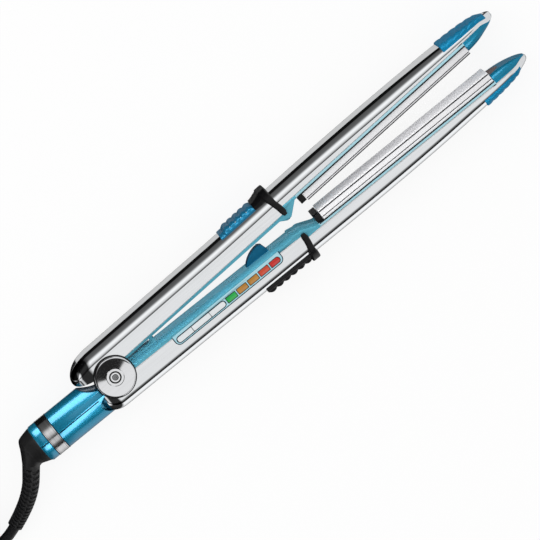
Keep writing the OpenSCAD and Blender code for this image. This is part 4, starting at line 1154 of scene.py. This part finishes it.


# dark lines on the plates' sides, painted as the shade of their rounded edges and grooves
GROOVE_SHADE_ENDS = (PLATE_X + 0.2, PLATE_END - 0.2)
make_side_lines("upper_plate_grooves", UPPER, "upper_float", GROOVE_SHADE_ENDS,
                [(0.55, 0.26, PLATE_SIDE - 0.08), (1.75, 0.24, PLATE_SIDE - 0.02)])
make_side_lines("lower_plate_grooves", LOWER, "lower_float", GROOVE_SHADE_ENDS,
                [(1.1, 0.36, PLATE_SIDE - 0.12), (4.55, 0.34, PLATE_SIDE)])
JOINT_ENDS = (PLATE_X - 3.5, NOSE_X - 0.3)
make_side_lines("upper_carrier_joints", UPPER, "upper_arm", JOINT_ENDS,
                [(6.0, 0.4, JOINT_SIDE), (8.15, 0.3, JOINT_SIDE)])
make_side_lines("lower_carrier_joints", LOWER, "lower_arm", JOINT_ENDS,
                [(6.3, 0.4, JOINT_SIDE), (8.3, 0.3, JOINT_SIDE)])


def make_barrel_joints():
    """Seam between the halves of the barrel, and the two edges of its band."""
    parts = []
    for ends in ((-57.6, BAND_X[0]), (BAND_X[1], -16.0)):
        for side in (1, -1):
            z = MID_Z + side * (TAIL_R - 0.12)
            parts.append(tube([Vector((x, TAIL_Y, z)) * MM for x in ends], 0.34 * MM, 10))
    parts += [tube(barrel_ring(x, TAIL_R + 0.02, 96), 0.24 * MM, 8, True) for x in BAND_X]
    piece("barrel_joints", merge(parts), TEAL_LINE, "lower_arm")


make_barrel_joints()

# The other CAD nodes: material, width and segments of their rounded edges, and names
for mat, bevel, segments, names in (
        (TEAL_LINER, 0.25, 2, ("lower_liner", "upper_liner")),
        (TEAL_PALE, 0.2, 2, ("lower_carrier", "upper_carrier")),
        (TEAL_DARK, 0.45, 3, ("align_fin",)),
        (BLACK, 0.9, 4, ("lower_end_block", "upper_end_block")),
        (TEAL_PALE, 0.18, 2, ("key_panel",)),
        (KEY_PALE, 0.3, 3, ("key_power", "key_minus", "key_plus")),
        (LAMP_GREEN, 0.15, 2, ("lamp_green",)),
        (LAMP_AMBER, 0.15, 2, ("lamps_amber",)),
        (LAMP_ORANGE, 0.15, 2, ("lamp_orange",)),
        (LAMP_RED, 0.15, 2, ("lamp_red",)),
        (TEAL, 0.12, 2, ("tail_half_upper", "tail_half_lower")),
        (PLATE, 0.12, 2, ("lower_plate", "upper_plate")),
        (BARE, 0, 0, ("hinge_pin", "hinge_screws", "tail_screws", "opening_spring", "lower_plate_springs",
                      "upper_plate_springs")),
        (BRASS, 0, 0, ("slip_rings", "slip_brushes")),
        (CERAMIC, 0, 0, ("lower_heater", "upper_heater", "heat_sensor", "thermal_fuse")),
        (BOARD, 0, 0, ("circuit_board",)),
        (BLACK, 0, 0, ("key_switches",)),
        (WIRE, 0, 0, ("lower_wiring", "upper_wiring"))):
    for name in names:
        dress(name, mat, bevel, segments)

# Floor, lights and surround

# Share of plain white in the floor as the camera sees it; the rest is lit paper that keeps the shadow
PLAIN_SHARE = 0.88
FLOOR_HALF, FLOOR_Z = 6.0, -0.0001


def make_floor():
    s, z = FLOOR_HALF, FLOOR_Z
    me = bpy.data.meshes.new("floor")
    me.from_pydata([(-s, -s, z), (s, -s, z), (s, s, z), (-s, s, z)], [], [(0, 1, 2, 3)])
    ob = bpy.data.objects.new("floor", me)
    scene.collection.objects.link(ob)
    mat = new_material("floor_paper", grey(0.96), rough=0.9)
    t = mat.node_tree
    white = node(t, "Emission", grey(1.0), 1.0).outputs[0]
    seen = node(t, "LightPath").outputs["Is Camera Ray"]
    share = node(t, "Math", seen, PLAIN_SHARE, operation="MULTIPLY").outputs[0]
    mix = node(t, "MixShader", share, t.nodes["Principled BSDF"].outputs[0], white)
    t.links.new(mix.outputs[0], t.nodes["Material Output"].inputs["Surface"])
    me.materials.append(mat)
    ob.visible_glossy = False


def add_light(name, at, length, width, power):
    data = bpy.data.lights.new(name, "AREA")
    data.shape, data.size, data.size_y, data.energy = "RECTANGLE", length, width, power
    ob = bpy.data.objects.new(name, data)
    scene.collection.objects.link(ob)
    ob.location = at
    ob.visible_camera = False
    return ob


def soft_light(name, at, to, size, power):
    """Square light that isn't mirrored in gloss."""
    ob = add_light(name, at, size, size, power)
    ob.rotation_euler = (Vector(to) - Vector(at)).to_track_quat("-Z", "Y").to_euler()
    ob.visible_glossy = False
    return ob


def pieces_with(name, *mats):
    """Collection of the pieces made of these materials, for a light that reaches only them."""
    if name not in bpy.data.collections:
        group = bpy.data.collections.new(name)
        for ob in bpy.data.objects:
            if ob.type == "MESH" and ob.data.materials and ob.data.materials[0] in mats:
                group.objects.link(ob)
    return bpy.data.collections[name]


def sheen_light(name, at, length, width, radiance):
    """Long strip light along X that shows only in the gloss of the teal lacquer."""
    ob = add_light(name, at, length, width, radiance * 4 * length * width)
    z = (Vector(at) - Vector((at[0], -0.005, 0.016))).normalized()
    ob.matrix_world = Matrix((X, z.cross(X), z)).transposed().to_4x4()
    ob.location = at
    ob.visible_diffuse = False
    ob.light_linking.receiver_collection = pieces_with("lacquered", TEAL, TEAL_DEEP, TEAL_DARK, TEAL_NOSE)


def fill_light(name, at, to, power, *mats):
    """Soft fill for faces between the arms, which the other arm doesn't keep in the dark."""
    ob = soft_light(name, at, to, 0.3, power)
    ob.light_linking.receiver_collection = pieces_with(name, *mats)
    away = bpy.data.collections.new(name + "_blockers")
    away.objects.link(bpy.data.objects["floor"])
    ob.light_linking.blocker_collection = away


AMBIENT = 0.78
# Light and dark cards round the table, as metal sees them: angle from straight up towards +Y, in
# degrees, and brightness
CARDS = [(-180, 0.02), (-160, 0.02), (-148, 0.3), (-127, 0.7), (-98, 1.1), (-88, 1.1), (-72, 1.0),
         (-66, 0.02), (-51, 0.08), (-42, 0.33), (-33, 0.88), (-9.6, 0.9), (-4, 0.1), (-3, 0.17), (5, 0.48),
         (13, 0.87), (22, 1.0), (30, 1.15), (38, 1.0), (45, 0.77), (53, 0.3), (62, 0.14), (104, 0.08),
         (165, 0.02), (168, 0.62), (180, 0.62)]
# Dark cards with crisp edges: from angle, to angle, brightness; and half the width of such an edge
DARK_CARDS = [(-9.6, -4.2, 0.02), (-71.5, -57, 0.015), (104.5, 166.8, 0.006), (172.6, 181, 0.02)]
CARD_EDGE = 0.25
# Share of that light by the way to the side, from -X to +X: a dark card stands behind the hinge
SIDE_CARD = [(-1, 1), (-0.92, 1), (-0.84, 0.03), (-0.3, 0.03), (-0.16, 1), (1, 1)]
CARD_PEAK = 2.5
# Plain wall beyond the tips: where it starts and is full, from -X to +X, and its brightness
WALL_FROM, WALL_FULL, WALL_LIGHT = 0.5, 0.6, 0.8


def make_world():
    """Plain light for matt surfaces, the cards for gloss, and white for the camera."""
    world = bpy.data.worlds.new("studio")
    scene.world = world
    world.use_nodes = True
    t = world.node_tree
    t.nodes.clear()
    way = node(t, "SeparateXYZ", node(t, "TexCoord").outputs["Generated"]).outputs
    angle = node(t, "Math", way["Y"], way["Z"], operation="ARCTAN2").outputs[0]
    unit = node(t, "Math", angle, 1 / (2 * math.pi), 0.5, operation="MULTIPLY_ADD").outputs[0]
    light = ramp(t, unit, [(a / 360 + 0.5, grey(v / CARD_PEAK)) for a, v in CARDS])
    for low, high, value in DARK_CARDS:
        edges = []
        for at, half in ((low, CARD_EDGE), (high, -CARD_EDGE)):
            edge = node(t, "MapRange", interpolation_type="SMOOTHSTEP", Value=angle,
                        From_Min=math.radians(at - half), From_Max=math.radians(at + half))
            edges.append(edge.outputs["Result"])
        inside = node(t, "Math", *edges, operation="MULTIPLY").outputs[0]
        card = node(t, "Mix", data_type="RGBA", Factor=inside, A=light, B=grey(value / CARD_PEAK))
        light = card.outputs["Result"]
    side = node(t, "Math", way["X"], 0.5, 0.5, operation="MULTIPLY_ADD").outputs[0]
    along = ramp(t, side, [(x / 2 + 0.5, grey(v)) for x, v in SIDE_CARD])
    both = node(t, "VectorMath", light, along, operation="MULTIPLY").outputs[0]
    wall = node(t, "MapRange", Value=way["X"], From_Min=WALL_FROM, From_Max=WALL_FULL).outputs["Result"]
    room = node(t, "Mix", data_type="RGBA", Factor=wall, A=both, B=grey(WALL_LIGHT / CARD_PEAK))
    cards = node(t, "Background", room.outputs["Result"], CARD_PEAK).outputs[0]
    white = node(t, "Background", grey(1.0)).outputs[0]
    mix = node(t, "Background", grey(1.0), AMBIENT).outputs[0]
    path = node(t, "LightPath").outputs
    for ray, shader in (("Is Glossy Ray", cards), ("Is Transmission Ray", white), ("Is Camera Ray", white)):
        mix = node(t, "MixShader", path[ray], mix, shader).outputs[0]
    node(t, "OutputWorld", Surface=mix)


make_floor()
make_world()
soft_light("key", (-0.5, 0.9, 1.6), (0.1, 0, 0), 1.4, 9.0)
sheen_light("sheen_side", (0.08, 1.0, 0.21), 1.3, 0.7, 4.7)
sheen_light("sheen_top", (0.08, -0.53, 0.87), 1.3, 0.48, 4.7)
fill_light("fill_plates", (0.02, 0.24, 0.03), (0.14, -0.02, 0.016), 0.9, PLATE, TEAL_NOSE, TAUPE)
fill_light("fill_liners", (0.07, 0.35, 0.04), (0.07, -0.01, 0.016), 3.0, TEAL_LINER)
scene.view_settings.view_transform = "Standard"
